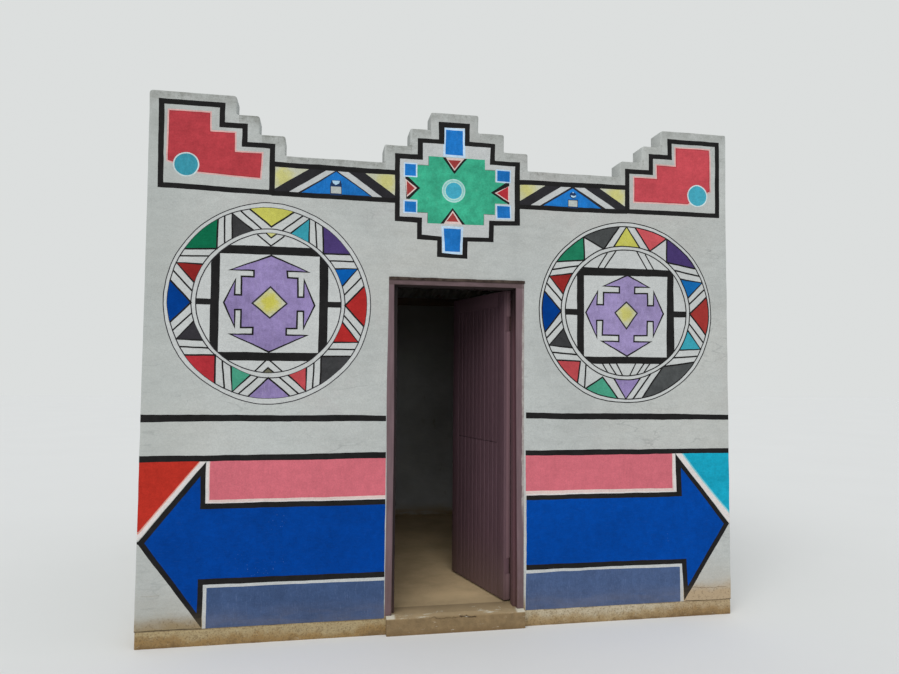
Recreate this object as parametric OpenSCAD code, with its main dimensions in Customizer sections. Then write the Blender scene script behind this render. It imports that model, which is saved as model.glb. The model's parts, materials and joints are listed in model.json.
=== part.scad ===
// One-room painted house with a stepped parapet, a mono-pitch iron roof behind
// it and a boarded door that opens inward. X runs along the front wall, Y runs
// from the front to the back and Z is up from the ground. Sizes in millimetres.

/* [House] */
// Width of the front wall
front_w = 3867; // [3200:1:4800]
// Depth from the front face to the back face
house_d = 3300; // [2400:1:4200]
// Thickness of the plastered walls
wall_t = 150; // [125:1:220]
// Height of the plinth course above the ground
plinth_h = 100; // [60:1:200]
// How far the plinth stands proud of the walls
plinth_proud = 5; // [1:1:30]
// Height of the floor above the plinth course
floor_rise = 10; // [0:1:40]

/* [Doorway] */
// Width between the rebates of the door frame
door_clear_w = 808; // [700:1:1000]
// Height from the threshold to the rebate of the frame's head
door_clear_h = 2094; // [1900:1:2150]
// Width of the frame's face
frame_face = 44; // [25:1:70]
// Depth of each rebate from the wall face to the stop
rebate_d = 45; // [45:1:55]
// How far the stop stands out of the rebate
stop_h = 12; // [6:1:25]
// Height of the threshold above the floor
threshold_rise = 5; // [0:1:30]
// How far the threshold stands out in front of the wall
threshold_proj = 40; // [10:1:120]
// Radius of the threshold's worn front edge
threshold_r = 18; // [5:1:30]

/* [Door] */
// Thickness of the door
leaf_t = 40; // [35:1:45]
// Gap at the hinge side and at the head
hinge_gap = 5; // [5:0.5:6]
// Gap at the closing side
lock_gap = 7; // [6:0.5:12]
// Gap under the door
under_gap = 8; // [5:1:20]
// Width of the stiles and of the top rail
stile_w = 100; // [70:1:130]
// Height of the middle and bottom rails
rail_h = 150; // [100:1:220]
// Thickness of the boards
board_t = 20; // [12:1:25]
// Number of boards side by side
board_count = 10; // [6:1:14]
// Depth of the V joints between the boards
groove_d = 3; // [1:0.5:5]
// How far the door stands open
door_open = 75; // [0:1:170]

/* [Hinges] */
// Length of a hinge
hinge_len = 100; // [75:1:125]
// Distance from the door's end to a hinge's middle
hinge_inset = 225; // [150:1:300]
// Thickness of the hinge plates
plate_t = 2; // [1.5:0.1:2.2]
// Radius of the hinge pins
pin_r = 4; // [3:0.1:4.5]
// Radial clearance of the pins
pin_clear = 0.08; // [0.03:0.01:0.1]
// Outer radius of the knuckles
knuckle_r = 7; // [6:0.1:7.2]
// Distance from the wall's inner face to the pin's axis
pin_out = 8; // [8:0.1:10]

/* [Parapet] */
// Height of the low parapet above the ground
parapet_low_z = 3001; // [2980:1:3400]
// Height of one parapet step
step_h = 118; // [60:1:180]
// Width of the left corner block's top
left_top_w = 513; // [300:1:600]
// Width of the right corner block's top
right_top_w = 493; // [300:1:600]
// Width of a corner block's upper tread
corner_tread_up = 141; // [60:1:200]
// Width of a corner block's lower tread
corner_tread_low = 161; // [60:1:200]
// Width of the centre block's top
centre_top_w = 320; // [200:1:500]
// Width of the centre block's upper treads
centre_tread_up = 156; // [60:1:200]
// Width of the centre block's lower treads
centre_tread_low = 167; // [60:1:200]
// How far the centre block is built off the middle
centre_shift = -10; // [-60:1:60]
// How far its top is built further off
centre_top_shift = -20; // [-60:1:60]
// Height that the left corner block gains by hand building
left_lift = 8; // [-20:1:20]
// Height that the right corner block gains by hand building
right_lift = -6; // [-20:1:20]
// Radius of the rounded plaster corners
corner_r = 22; // [5:1:40]

/* [Roof] */
// Height of the roof sheets over the back wall's inner face
roof_low_z = 2450; // [2400:1:2500]
// Slope of the roof in degrees
roof_pitch = 6.3; // [4:0.1:7]
// How far the sheets stand out behind the back wall
roof_over = 80; // [20:1:250]
// Gap between the sheets and the parapet
sheet_gap = 15; // [5:1:40]
// Number of roof sheets
sheet_count = 5; // [5:1:5]
// Corrugations covered by each sheet
sheet_waves = 10; // [8:1:10]
// Depth of a corrugation
wave_d = 17.5; // [12:0.5:25]
// Thickness of a sheet
sheet_t = 0.8; // [0.5:0.1:1.2]
// Width of a purlin
purlin_w = 50; // [38:1:75]
// Depth of a purlin
purlin_d = 76; // [50:1:110]
// Length of a purlin's bearing in the wall
purlin_bearing = 100; // [50:1:110]
// Distance from the end purlins' middle to the wall
purlin_inset = 60; // [45:1:150]
// Height of the flashing on the parapet
flash_h = 75; // [40:1:110]
// Width of the flashing on the sheets
flash_w = 150; // [80:1:250]
// Thickness of the flashing
flash_t = 1; // [0.6:0.1:2]

/* [Hidden] */
$fn = 48;

half_w = front_w / 2;
room_half = half_w - wall_t;
inner_back = house_d - wall_t;
floor_z = plinth_h + floor_rise;
threshold_z = floor_z + threshold_rise;
head_z = threshold_z + door_clear_h;
frame_half = door_clear_w / 2 + frame_face;
frame_top = head_z + frame_face;
mid_y = (house_d + roof_over - threshold_proj) / 2;

leaf_left = -(door_clear_w / 2 - lock_gap);
leaf_right = door_clear_w / 2 - hinge_gap;
leaf_bottom = threshold_z + under_gap;
leaf_top = head_z - hinge_gap;
leaf_y = wall_t - leaf_t;
board_joint_z = (leaf_bottom + leaf_top) / 2;
board_w = (leaf_right - leaf_left - 2 * stile_w) / board_count;
pivot_x = door_clear_w / 2 - hinge_gap / 2;
pivot_y = wall_t + pin_out;
knuckle_count = 5;
knuckle_gap = 0.4;
plate_edge = 2;

purlin_count = 4;
wave_w = front_w / (sheet_count * sheet_waves + 0.75);
wave_parts = 8;
lap_lift = sheet_t + 0.2;
flash_clear = 0.2;
cut = 1;
paint_white = [0.84, 0.86, 0.86];
soil = [0.66, 0.55, 0.42];
mauve = [0.45, 0.33, 0.36];
frame_mauve = [0.53, 0.41, 0.43];

// Height of the roof sheets' underside at a distance from the front face
function roof_z(y) = roof_low_z + (inner_back - y) * tan(roof_pitch);
function purlin_y(i) =
    wall_t + purlin_inset + i * (inner_back - wall_t - 2 * purlin_inset) / (purlin_count - 1);

// Puts the house's middle on the origin
module placed() translate([0, -mid_y, 0]) children();

// Swings the closed door open about its pins
module on_door()
    placed() translate([pivot_x, pivot_y, 0]) rotate([0, 0, -door_open])
        translate([-pivot_x, -pivot_y, 0]) children();

module block(x0, x1, y0, y1, z0, z1)
    translate([x0, y0, z0]) cube([x1 - x0, y1 - y0, z1 - z0]);

// Runs a side profile, drawn as distance and height, along the house's width
module along_x(x0, x1)
    translate([x0, 0, 0]) rotate([90, 0, 90]) linear_extrude(x1 - x0) children();

// Gives a front profile, drawn as width and height, the thickness of the wall
module wall_thick() translate([0, wall_t, 0]) rotate([90, 0, 0]) linear_extrude(wall_t) children();

module plinth_front(side)
    block(min(side * frame_half, side * (half_w + plinth_proud)),
          max(side * frame_half, side * (half_w + plinth_proud)), -plinth_proud, wall_t, 0, plinth_h);
module plinth_side(side)
    block(min(side * room_half, side * (half_w + plinth_proud)),
          max(side * room_half, side * (half_w + plinth_proud)), wall_t, inner_back, 0, plinth_h);

module plinth_front_left() color(soil) placed() plinth_front(-1);
module plinth_front_right() color(soil) placed() plinth_front(1);
module plinth_left() color(soil) placed() plinth_side(-1);
module plinth_right() color(soil) placed() plinth_side(1);
module plinth_back() color(soil) placed()
    block(-half_w - plinth_proud, half_w + plinth_proud, inner_back, house_d + plinth_proud, 0, plinth_h);

module floor_slab() color([0.52, 0.45, 0.36]) placed()
    block(-room_half, room_half, wall_t, inner_back, 0, floor_z);

// A cast step under the frame with a worn front edge
module door_threshold() color([0.6, 0.5, 0.38]) placed()
    along_x(-frame_half, frame_half) difference() {
        translate([-threshold_proj, 0]) square([threshold_proj + wall_t, threshold_z]);
        arris_cut(-threshold_proj, threshold_z, -1, threshold_r);
    }

// Takes a sharp corner off a profile. The solid lies left of the corner where side is 1
module arris_cut(x, z, side, r) translate([x - side * r, z - r]) difference() {
    translate([side > 0 ? 0 : -r - cut, 0]) square(r + cut);
    circle(r);
}

module wall_beside_door(side)
    block(min(side * frame_half, side * half_w), max(side * frame_half, side * half_w),
          0, wall_t, plinth_h, frame_top);

module front_wall_left() color(paint_white) placed() wall_beside_door(-1);
module front_wall_right() color(paint_white) placed() wall_beside_door(1);
module front_wall_head() color(paint_white) placed()
    block(-half_w, half_w, 0, wall_t, frame_top, parapet_low_z);

// Half-widths or reaches of the three steps, from the lowest to the top one
function corner_reach(top_w) =
    [top_w + corner_tread_up + corner_tread_low, top_w + corner_tread_up, top_w];

// Stepped corner block whose reaches are measured from the end of the wall
module corner_block(side, top_w, lift) placed() wall_thick() difference() {
    for (i = [0:2]) {
        reach = corner_reach(top_w)[i];
        translate([side > 0 ? half_w - reach : -half_w, parapet_low_z])
            square([reach, step_h * (i + 1) + lift]);
    }
    for (i = [0:2])
        arris_cut(side * (half_w - corner_reach(top_w)[i]),
                  parapet_low_z + step_h * (i + 1) + lift, -side, corner_r);
    arris_cut(side * half_w, parapet_low_z + step_h * 3 + lift, side, corner_r);
}

module parapet_left_block() color(paint_white) corner_block(-1, left_top_w, left_lift);
module parapet_right_block() color(paint_white) corner_block(1, right_top_w, right_lift);

centre_half = [centre_top_w / 2 + centre_tread_up + centre_tread_low,
               centre_top_w / 2 + centre_tread_up, centre_top_w / 2];
function centre_x(i) = centre_shift + (i == 2 ? centre_top_shift : 0);

module parapet_centre_block() color(paint_white) placed() wall_thick() difference() {
    for (i = [0:2])
        translate([centre_x(i) - centre_half[i], parapet_low_z])
            square([2 * centre_half[i], step_h * (i + 1)]);
    for (i = [0:2], side = [-1, 1])
        arris_cut(centre_x(i) + side * centre_half[i], parapet_low_z + step_h * (i + 1), side, corner_r);
}

// The side walls follow the roof and hold the purlins in pockets
module side_wall(side) difference() {
    along_x(side > 0 ? room_half : -half_w, side > 0 ? half_w : -room_half)
        polygon([[wall_t, plinth_h], [inner_back, plinth_h],
                 [inner_back, roof_z(inner_back)], [wall_t, roof_z(wall_t)]]);
    for (i = [0:purlin_count - 1]) purlin_bar(i, cut);
}
module left_wall() color(paint_white) placed() side_wall(-1);
module right_wall() color(paint_white) placed() side_wall(1);
module back_wall() color(paint_white) placed() along_x(-half_w, half_w)
    polygon([[inner_back, plinth_h], [house_d, plinth_h],
             [house_d, roof_z(house_d)], [inner_back, roof_z(inner_back)]]);

// Pressed steel door frame with a rebate on both faces, filled behind
stop_y0 = rebate_d;
stop_y1 = wall_t - rebate_d;
module jamb(side) {
    inner = door_clear_w / 2;
    block(min(side * inner, side * frame_half), max(side * inner, side * frame_half),
          0, wall_t, threshold_z, head_z);
    block(min(side * (inner - stop_h), side * inner), max(side * (inner - stop_h), side * inner),
          stop_y0, stop_y1, threshold_z, head_z);
}
module door_jamb_lock() color(frame_mauve) placed() jamb(-1);
module door_jamb_hinge() color(frame_mauve) placed() jamb(1);
module door_head() color(frame_mauve) placed() {
    block(-frame_half, frame_half, 0, wall_t, head_z, frame_top);
    block(-door_clear_w / 2 + stop_h, door_clear_w / 2 - stop_h, stop_y0, stop_y1, head_z - stop_h, head_z);
}

// Butt hinges: the frame side carries the pin and every other knuckle
knuckle_pitch = hinge_len / knuckle_count;
module knuckle(i, z0) translate([pivot_x, pivot_y, z0 + i * knuckle_pitch + knuckle_gap / 2])
    cylinder(h = knuckle_pitch - knuckle_gap, r = knuckle_r);
module knuckle_tab(x, i, z0)
    block(x, x + plate_t, wall_t - cut, pivot_y, z0 + i * knuckle_pitch + knuckle_gap / 2,
          z0 + (i + 1) * knuckle_pitch - knuckle_gap / 2);
module hinge_frame_side(z0) {
    x = door_clear_w / 2 - plate_t;
    block(x, x + plate_t, wall_t - leaf_t + plate_edge, wall_t, z0, z0 + hinge_len);
    for (i = [0:2:knuckle_count - 1]) {
        knuckle(i, z0);
        knuckle_tab(x, i, z0);
    }
    translate([pivot_x, pivot_y, z0]) cylinder(h = hinge_len, r = pin_r);
}
module hinge_leaf_side(z0) difference() {
    union() {
        block(leaf_right, leaf_right + plate_t, wall_t - leaf_t + plate_edge, wall_t, z0, z0 + hinge_len);
        for (i = [1:2:knuckle_count - 2]) {
            knuckle(i, z0);
            knuckle_tab(leaf_right, i, z0);
        }
    }
    translate([pivot_x, pivot_y, z0 - cut]) cylinder(h = hinge_len + 2 * cut, r = pin_r + pin_clear);
}
hinge_top_z = leaf_top - hinge_inset - hinge_len / 2;
hinge_bottom_z = leaf_bottom + hinge_inset - hinge_len / 2;
module hinge_top_frame() color(frame_mauve) placed() hinge_frame_side(hinge_top_z);
module hinge_bottom_frame() color(frame_mauve) placed() hinge_frame_side(hinge_bottom_z);
module hinge_top_leaf() color(frame_mauve) on_door() hinge_leaf_side(hinge_top_z);
module hinge_bottom_leaf() color(frame_mauve) on_door() hinge_leaf_side(hinge_bottom_z);

// Framed and boarded door: the boards lie in front of the middle and bottom rails
module door_stile_lock() color(mauve) on_door()
    block(leaf_left, leaf_left + stile_w, leaf_y, wall_t, leaf_bottom, leaf_top);
module door_stile_hinge() color(mauve) on_door()
    block(leaf_right - stile_w, leaf_right, leaf_y, wall_t, leaf_bottom, leaf_top);
module door_top_rail() color(mauve) on_door()
    block(leaf_left + stile_w, leaf_right - stile_w, leaf_y, wall_t, leaf_top - stile_w, leaf_top);
module back_rail(z0)
    block(leaf_left + stile_w, leaf_right - stile_w, leaf_y + board_t, wall_t, z0, z0 + rail_h);
module door_mid_rail() color(mauve) on_door() back_rail(board_joint_z - rail_h / 2);
module door_bottom_rail() color(mauve) on_door() back_rail(leaf_bottom);

// A run of boards with a V joint at every edge
module boards(z0, z1) translate([leaf_left + stile_w, leaf_y, z0]) linear_extrude(z1 - z0)
    difference() {
        square([board_w * board_count, board_t]);
        for (i = [0:board_count])
            translate([i * board_w, 0])
                polygon([[-groove_d, 0], [0, groove_d], [groove_d, 0], [0, -groove_d]]);
    }
module door_boards_upper() color(mauve) on_door() boards(board_joint_z, leaf_top - stile_w);
module door_boards_lower() color(mauve) on_door() boards(leaf_bottom, board_joint_z);

// Timber purlins set square to the roof; extra lengthens the section upward
module purlin_bar(i, extra)
    along_x(-room_half - purlin_bearing, room_half + purlin_bearing)
        translate([purlin_y(i), roof_z(purlin_y(i))]) rotate(-roof_pitch)
            translate([-purlin_w / 2, -purlin_d]) square([purlin_w, purlin_d + extra]);
module purlin(i) color([0.62, 0.48, 0.33]) placed() purlin_bar(i, 0);
module purlin_1() purlin(0);
module purlin_2() purlin(1);
module purlin_3() purlin(2);
module purlin_4() purlin(3);

// Corrugated sheets, each lapping one corrugation of its neighbour
function wave_z(k) = wave_d / 2 * (1 - cos(360 * k / wave_parts));
module sheet_profile(waves) {
    last = waves * wave_parts;
    step = wave_w / wave_parts;
    polygon(concat([for (k = [0:last]) [k * step, wave_z(k)]],
                   [for (k = [last:-1:0]) [k * step, wave_z(k) + sheet_t]]));
}
sheet_front_y = wall_t + sheet_gap;
sheet_back_y = house_d + roof_over - (wave_d + sheet_t + lap_lift) * sin(roof_pitch);
module roof_sheet(i) color([0.66, 0.67, 0.67]) placed()
    translate([0, sheet_back_y, roof_z(sheet_back_y)]) rotate([90 - roof_pitch, 0, 0])
        linear_extrude((sheet_back_y - sheet_front_y) / cos(roof_pitch))
            translate([(i - sheet_count / 2) * sheet_waves * wave_w - wave_w / 2, (i % 2) * lap_lift])
                sheet_profile(sheet_waves + 1);
module roof_sheet_1() roof_sheet(0);
module roof_sheet_2() roof_sheet(1);
module roof_sheet_3() roof_sheet(2);
module roof_sheet_4() roof_sheet(3);
module roof_sheet_5() roof_sheet(4);

// Bent flashing that covers the gap between the sheets and the parapet
flash_z = roof_z(wall_t) + (wave_d + sheet_t + lap_lift + flash_clear) / cos(roof_pitch);
flash_fall = flash_w * tan(roof_pitch);
module roof_flashing() color([0.6, 0.61, 0.6]) placed() along_x(-half_w, half_w)
    polygon([[wall_t, flash_z], [wall_t + flash_w, flash_z - flash_fall],
             [wall_t + flash_w, flash_z - flash_fall + flash_t],
             [wall_t + flash_t, flash_z + flash_t - flash_t * tan(roof_pitch)],
             [wall_t + flash_t, flash_z + flash_h], [wall_t, flash_z + flash_h]]);

plinth_front_left();
plinth_front_right();
plinth_left();
plinth_right();
plinth_back();
floor_slab();
door_threshold();
front_wall_left();
front_wall_right();
front_wall_head();
parapet_left_block();
parapet_centre_block();
parapet_right_block();
left_wall();
right_wall();
back_wall();
door_jamb_lock();
door_jamb_hinge();
door_head();
hinge_top_frame();
hinge_bottom_frame();
hinge_top_leaf();
hinge_bottom_leaf();
door_stile_lock();
door_stile_hinge();
door_top_rail();
door_mid_rail();
door_bottom_rail();
door_boards_upper();
door_boards_lower();
purlin_1();
purlin_2();
purlin_3();
purlin_4();
roof_sheet_1();
roof_sheet_2();
roof_sheet_3();
roof_sheet_4();
roof_sheet_5();
roof_flashing();
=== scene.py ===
"""Looks of a small painted one-room house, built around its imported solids.

The painted front is one closed plaster shell whose triangles follow every brush edge. All lengths in the
scene are metres. The painting alone is drawn in millimetres: x runs along the front wall from its middle
and z runs up from the ground.
"""

import json
import math

import bmesh
import bpy
import numpy as np
from mathutils import Matrix, Vector, noise
from mathutils.geometry import delaunay_2d_cdt
from mathutils.kdtree import KDTree


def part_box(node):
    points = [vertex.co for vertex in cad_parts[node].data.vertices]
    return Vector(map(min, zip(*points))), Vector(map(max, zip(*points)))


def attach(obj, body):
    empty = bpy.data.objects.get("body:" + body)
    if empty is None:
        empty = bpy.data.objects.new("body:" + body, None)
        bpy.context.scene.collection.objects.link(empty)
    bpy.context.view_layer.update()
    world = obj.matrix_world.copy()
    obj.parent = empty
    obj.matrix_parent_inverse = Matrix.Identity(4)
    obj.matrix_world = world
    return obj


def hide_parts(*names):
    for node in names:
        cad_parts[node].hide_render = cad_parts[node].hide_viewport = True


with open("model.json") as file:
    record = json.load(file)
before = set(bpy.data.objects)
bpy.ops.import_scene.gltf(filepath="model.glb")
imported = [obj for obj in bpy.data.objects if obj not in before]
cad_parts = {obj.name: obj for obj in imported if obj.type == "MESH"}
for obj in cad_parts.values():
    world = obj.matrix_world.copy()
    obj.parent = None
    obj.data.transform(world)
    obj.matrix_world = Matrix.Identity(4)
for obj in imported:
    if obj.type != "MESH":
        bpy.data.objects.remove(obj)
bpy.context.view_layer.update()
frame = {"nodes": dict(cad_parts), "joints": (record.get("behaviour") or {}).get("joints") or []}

# Without a seed, noise_vector takes another offset on each run
noise.seed_set(1)

MM = 0.001

# Sizes taken from the frame
head_low, head_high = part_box("front_wall_head")
FRONT_Y, INNER_Y = head_low.y, head_high.y
WALL_T = INNER_Y - FRONT_Y
HALF_W, LOW_PARAPET = head_high.x, head_high.z
FRAME_TOP = head_low.z
FRAME_HALF, _, PLINTH_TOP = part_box("front_wall_right")[0]
BACK_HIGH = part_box("back_wall")[1]
SIDE_HIGH, SIDE_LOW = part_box("left_wall")[1].z, BACK_HIGH.z
SILL_LOW, SILL_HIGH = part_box("door_threshold")
LEFT_BLOCK, CENTRE_BLOCK, RIGHT_BLOCK = (
    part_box(f"parapet_{end}_block") for end in ("left", "centre", "right"))
PIVOT = Vector(frame["joints"][0]["pos_m"])
REST_TURN = math.radians(frame["joints"][0]["range_deg"][0])

# Sizes repeated from the construction
STEP_H = 0.118
CORNER_TREADS = (0.141, 0.161)
CENTRE_TREADS = (0.156, 0.167)
TOP_SHIFT = -0.020
LEFT_R, CENTRE_R, RIGHT_R = 0.019, 0.012, 0.004
NOOK_R = 0.010
LEAN_FROM, LEAN_RUN = 2.75, 0.55
ROOF_PITCH = math.radians(6.3)
WAVES_PER_SHEET = 11
WAVE_D = 0.0175
SHEET_T = 0.0008
DOOR_CLEAR_HALF = 0.404
STOP_H = 0.012
REBATE = 0.045
LEAF_LEFT, LEAF_RIGHT = -0.397, 0.399
LEAF_T = 0.040
STILE_W = 0.100
RAIL_H = 0.150
BOARD_T = 0.020
BOARDS = 10

# Paints, soils and screed as seen colours, 0 to 255
PAINTS = {
    "white": (190, 192, 190), "ivory": (212, 205, 202), "pink_white": (212, 190, 184),
    "dull_white": (186, 188, 187), "black": (33, 32, 32), "line_black": (50, 48, 52),
    "charcoal": (43, 42, 45), "soot": (57, 57, 58), "grey": (72, 74, 74), "royal": (0, 60, 142),
    "royal_right": (0, 65, 150), "pink": (200, 104, 115), "slate": (63, 82, 117),
    "slate_right": (71, 89, 124), "orange": (176, 47, 36), "cyan": (24, 160, 188),
    "pale_cyan": (132, 196, 204), "red": (177, 62, 69), "rose": (189, 73, 81), "teal": (60, 148, 167),
    "lagoon": (68, 160, 180), "peach": (214, 146, 130), "blue": (30, 110, 184), "sky": (66, 161, 186),
    "pale_teal": (140, 194, 187), "mint": (176, 210, 204), "pale_blue": (184, 208, 228),
    "green": (58, 162, 128), "deep_green": (14, 104, 71), "leaf_green": (32, 119, 87),
    "aqua_green": (72, 152, 125), "maroon": (135, 38, 36), "crimson": (168, 42, 41),
    "coral": (180, 72, 76), "salmon": (198, 85, 90), "brick": (164, 58, 64), "scarlet": (172, 48, 56),
    "dull_red": (150, 58, 57), "rust": (152, 52, 48), "violet": (141, 125, 171), "plum": (70, 55, 104),
    "azure": (8, 88, 164), "navy": (0, 56, 130), "night": (36, 54, 88), "mid_blue": (22, 102, 168),
    "light_cyan": (58, 153, 169), "yellow": (188, 185, 88), "frost": (200, 214, 214),
    "blush": (212, 168, 164), "olive": (100, 98, 80), "groove": (72, 62, 50),
    "scratch": (160, 158, 148), "pale_yellow": (188, 186, 120), "limed": (174, 178, 174),
    "haze": (170, 200, 220), "lilac": (148, 133, 176), "pencil": (104, 118, 108),
    "stain": (112, 96, 72),
}
SOIL, DARK_SOIL = (166, 144, 106), (108, 84, 56)
SCREED = (198, 173, 134)


def scaled(colour, share=1.0):
    """A seen colour as linear red, green, blue and alpha, lightened or darkened by share."""
    parts = [c / 255 for c in colour]
    lit = [p / 12.92 if p <= 0.04045 else ((p + 0.055) / 1.055) ** 2.4 for p in parts]
    return (*(min(1.0, c * share) for c in lit), 1.0)


def feed(socket, value):
    """Links a field or a node's output to an input, or sets the input."""
    source = value.socket if isinstance(value, Field) else value
    if isinstance(source, bpy.types.NodeSocket):
        socket.id_data.links.new(source, socket)
    else:
        socket.default_value = source


def add_node(tree, kind, settings=(), **inputs):
    made = tree.nodes.new(kind)
    for name, value in dict(settings).items():
        setattr(made, name, value)
    for name, value in inputs.items():
        feed(made.inputs[name], value)
    return made


class Field:
    """A number that varies over a surface."""

    def __init__(self, socket):
        self.socket = socket

    def math(self, operation, other=0.0, first=None):
        """A Math node on this and another, or on a number first and this."""
        made = add_node(self.socket.id_data, "ShaderNodeMath", {"operation": operation})
        feed(made.inputs[0], self if first is None else first)
        feed(made.inputs[1], other if first is None else self)
        return Field(made.outputs[0])

    def __add__(self, other):
        return self.math("ADD", other)

    def __sub__(self, other):
        return self.math("SUBTRACT", other)

    def __rsub__(self, number):
        return self.math("SUBTRACT", first=number)

    def __mul__(self, other):
        return self.math("MULTIPLY", other)

    def __abs__(self):
        return self.math("ABSOLUTE")

    def run(self, low, high, start=0.0, end=1.0, kind="SMOOTHSTEP"):
        """Goes from start to end while this goes from low to high."""
        made = add_node(self.socket.id_data, "ShaderNodeMapRange", {"interpolation_type": kind})
        for socket, value in zip(made.inputs, (self, low, high, start, end)):
            feed(socket, value)
        return Field(made.outputs[0])


class Look:
    """One procedural material in the frame's own coordinates, laid on coat over coat. A colour is a seen
    colour, a number that scales the base colour, or a node's output."""

    def __init__(self, name, base, roughness, specular=0.5, metallic=0.0):
        self.material = bpy.data.materials.new(name)
        self.material.use_nodes = True
        self.tree = self.material.node_tree
        self.surface = self.tree.nodes["Principled BSDF"].inputs
        self.surface["Roughness"].default_value = roughness
        self.surface["Metallic"].default_value = metallic
        self.surface["Specular IOR Level"].default_value = specular
        self.place = self.add("ShaderNodeTexCoord").outputs["Object"]
        self.x, self.y, self.z = self.axes(self.place)
        self.start(base)

    def add(self, kind, settings=(), **inputs):
        return add_node(self.tree, kind, settings, **inputs)

    def start(self, base):
        """Begins again from a base colour."""
        self.base = base
        self.colour = 1.0

    def axes(self, vector):
        return [Field(axis) for axis in self.add("ShaderNodeSeparateXYZ", Vector=vector).outputs]

    def noise(self, scale, detail=4.0, rough=0.55, stretch=(1, 1, 1), offset=0.0):
        """Noise whose grain is scale per metre, squeezed along each axis by stretch."""
        shift = (offset, offset, offset)
        spot = self.add("ShaderNodeMapping", Vector=self.place, Scale=stretch, Location=shift).outputs[0]
        made = self.add("ShaderNodeTexNoise", Vector=spot, Scale=scale, Detail=detail, Roughness=rough)
        return Field(made.outputs["Fac"])

    def cells(self, scale, output):
        return Field(self.add("ShaderNodeTexVoronoi", Vector=self.place, Scale=scale).outputs[output])

    def vectors(self, operation, first, second):
        """The number that a Vector Math node makes of two vectors."""
        made = self.add("ShaderNodeVectorMath", {"operation": operation})
        feed(made.inputs[0], first)
        feed(made.inputs[1], second)
        return Field(made.outputs["Value"])

    def away_from(self, **spot):
        """Distance from a spot given by two of its coordinates, such as X and Z."""
        flat = self.add("ShaderNodeCombineXYZ", **{axis: getattr(self, axis.lower()) for axis in spot})
        return self.vectors("DISTANCE", flat.outputs[0], [spot.get(axis, 0.0) for axis in "XYZ"])

    def tone(self, colour):
        """A colour as an input takes it."""
        if isinstance(colour, float):
            return scaled(self.base, colour)
        return scaled(colour) if isinstance(colour, tuple) and len(colour) == 3 else colour

    def mix(self, share, under, over, blend="MIX"):
        """One colour laid over another by share."""
        made = self.add("ShaderNodeMix", {"data_type": "RGBA", "blend_type": blend})
        for number, value in ((0, share), (6, self.tone(under)), (7, self.tone(over))):
            feed(made.inputs[number], value)
        return made.outputs[2]

    def times(self, factor):
        """The colour so far, lightened or darkened."""
        if isinstance(self.colour, float):
            return self.colour * factor
        return self.mix(1.0, self.colour, (factor, factor, factor, 1.0), "MULTIPLY")

    def coat(self, colour, share):
        """Lays a colour over the colour so far by share."""
        self.colour = self.mix(share, self.colour, colour)

    def shade(self, share, low, high):
        """Scales the colour so far by low where share is nought, and by high where it is one."""
        self.colour = self.mix(share, self.times(low), self.times(high))

    def finish(self, height=None, depth=0.001, strength=0.6, roughness=None):
        feed(self.surface["Base Color"], self.tone(self.colour))
        if roughness is not None:
            feed(self.surface["Roughness"], roughness)
        if height is not None:
            bump = self.add("ShaderNodeBump", Strength=strength, Distance=depth, Height=height)
            feed(self.surface["Normal"], bump.outputs[0])
        return self.material


def stain_with_soil(look, amount=1.0):
    """Rain splash: soil that thins out over the lowest quarter metre of a wall."""
    broken = look.noise(5.0, 6, 0.68, (0.6, 0.6, 3.4), 3.0).run(0.34, 0.62, 0.25, 1.0)
    reach = look.z.run(0.10, 0.26, 1.0, 0.0) * broken
    look.coat(SOIL, reach.math("MAXIMUM", look.z.run(0.10, 0.125, 0.8, 0.0)) * amount)


def splash(look):
    """Bare limewash above the foot: a soil tint that thins out upward, and specks of thrown mud."""
    east = look.x.run(0.5, 1.6)
    wander = look.noise(6.0, 5, 0.65, (1, 1, 2)).run(0.2, 0.8, -0.022, 0.022)
    broad = look.noise(1.6, 4, 0.6, (1, 1, 0.5), 52.0).run(0.3, 0.7, -0.02, 0.07)
    behind = look.y.run(INNER_Y, INNER_Y + 0.3)
    height = look.z - east * 0.045 + (wander + behind * broad)
    tint = look.mix(east, (145, 128, 99), (176, 155, 126))
    look.coat(tint, height.run(0.095, 0.220, 0.74, 0.0) + height.run(0.10, 0.37, 0.30, 0.0, "LINEAR"))
    mud = look.noise(80.0, 4, 0.7, offset=8.0).run(0.54, 0.66, 0.0, 0.6)
    look.coat((96, 78, 54), mud * height.run(0.11, 0.20, 1.0, 0.0))


FLOAT_DEPTH = 0.0042


def float_marks(look):
    """Float marks and grain of hand-laid plaster, as a height."""
    return look.noise(9.0, 6, 0.62, (1, 1, 2.4)) + look.noise(120.0, 4, 0.65) * 0.30


def centre_steps():
    """The centre block's middle, and the half-widths of its steps from the widest to the top."""
    middle = (CENTRE_BLOCK[0].x + CENTRE_BLOCK[1].x) / 2
    wide = CENTRE_BLOCK[1].x - middle
    narrow = wide - CENTRE_TREADS[1]
    return middle, wide, narrow, narrow - CENTRE_TREADS[0]


def skyline():
    """The front's top edge as (x where a level starts, level), from left to right."""
    inner, outer = CORNER_TREADS[1], sum(CORNER_TREADS)
    middle, wide, narrow, top = centre_steps()
    left, right = LEFT_BLOCK[1].x, RIGHT_BLOCK[0].x
    low, first, second = (LOW_PARAPET + k * STEP_H for k in range(3))
    return [(-HALF_W, LEFT_BLOCK[1].z), (left - outer, second), (left - inner, first), (left, low),
            (middle - wide, first), (middle - narrow, second), (middle + TOP_SHIFT - top, CENTRE_BLOCK[1].z),
            (middle + TOP_SHIFT + top, second), (middle + narrow, first), (middle + wide, low),
            (right, first), (right + inner, second), (right + outer, RIGHT_BLOCK[1].z)]


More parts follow.
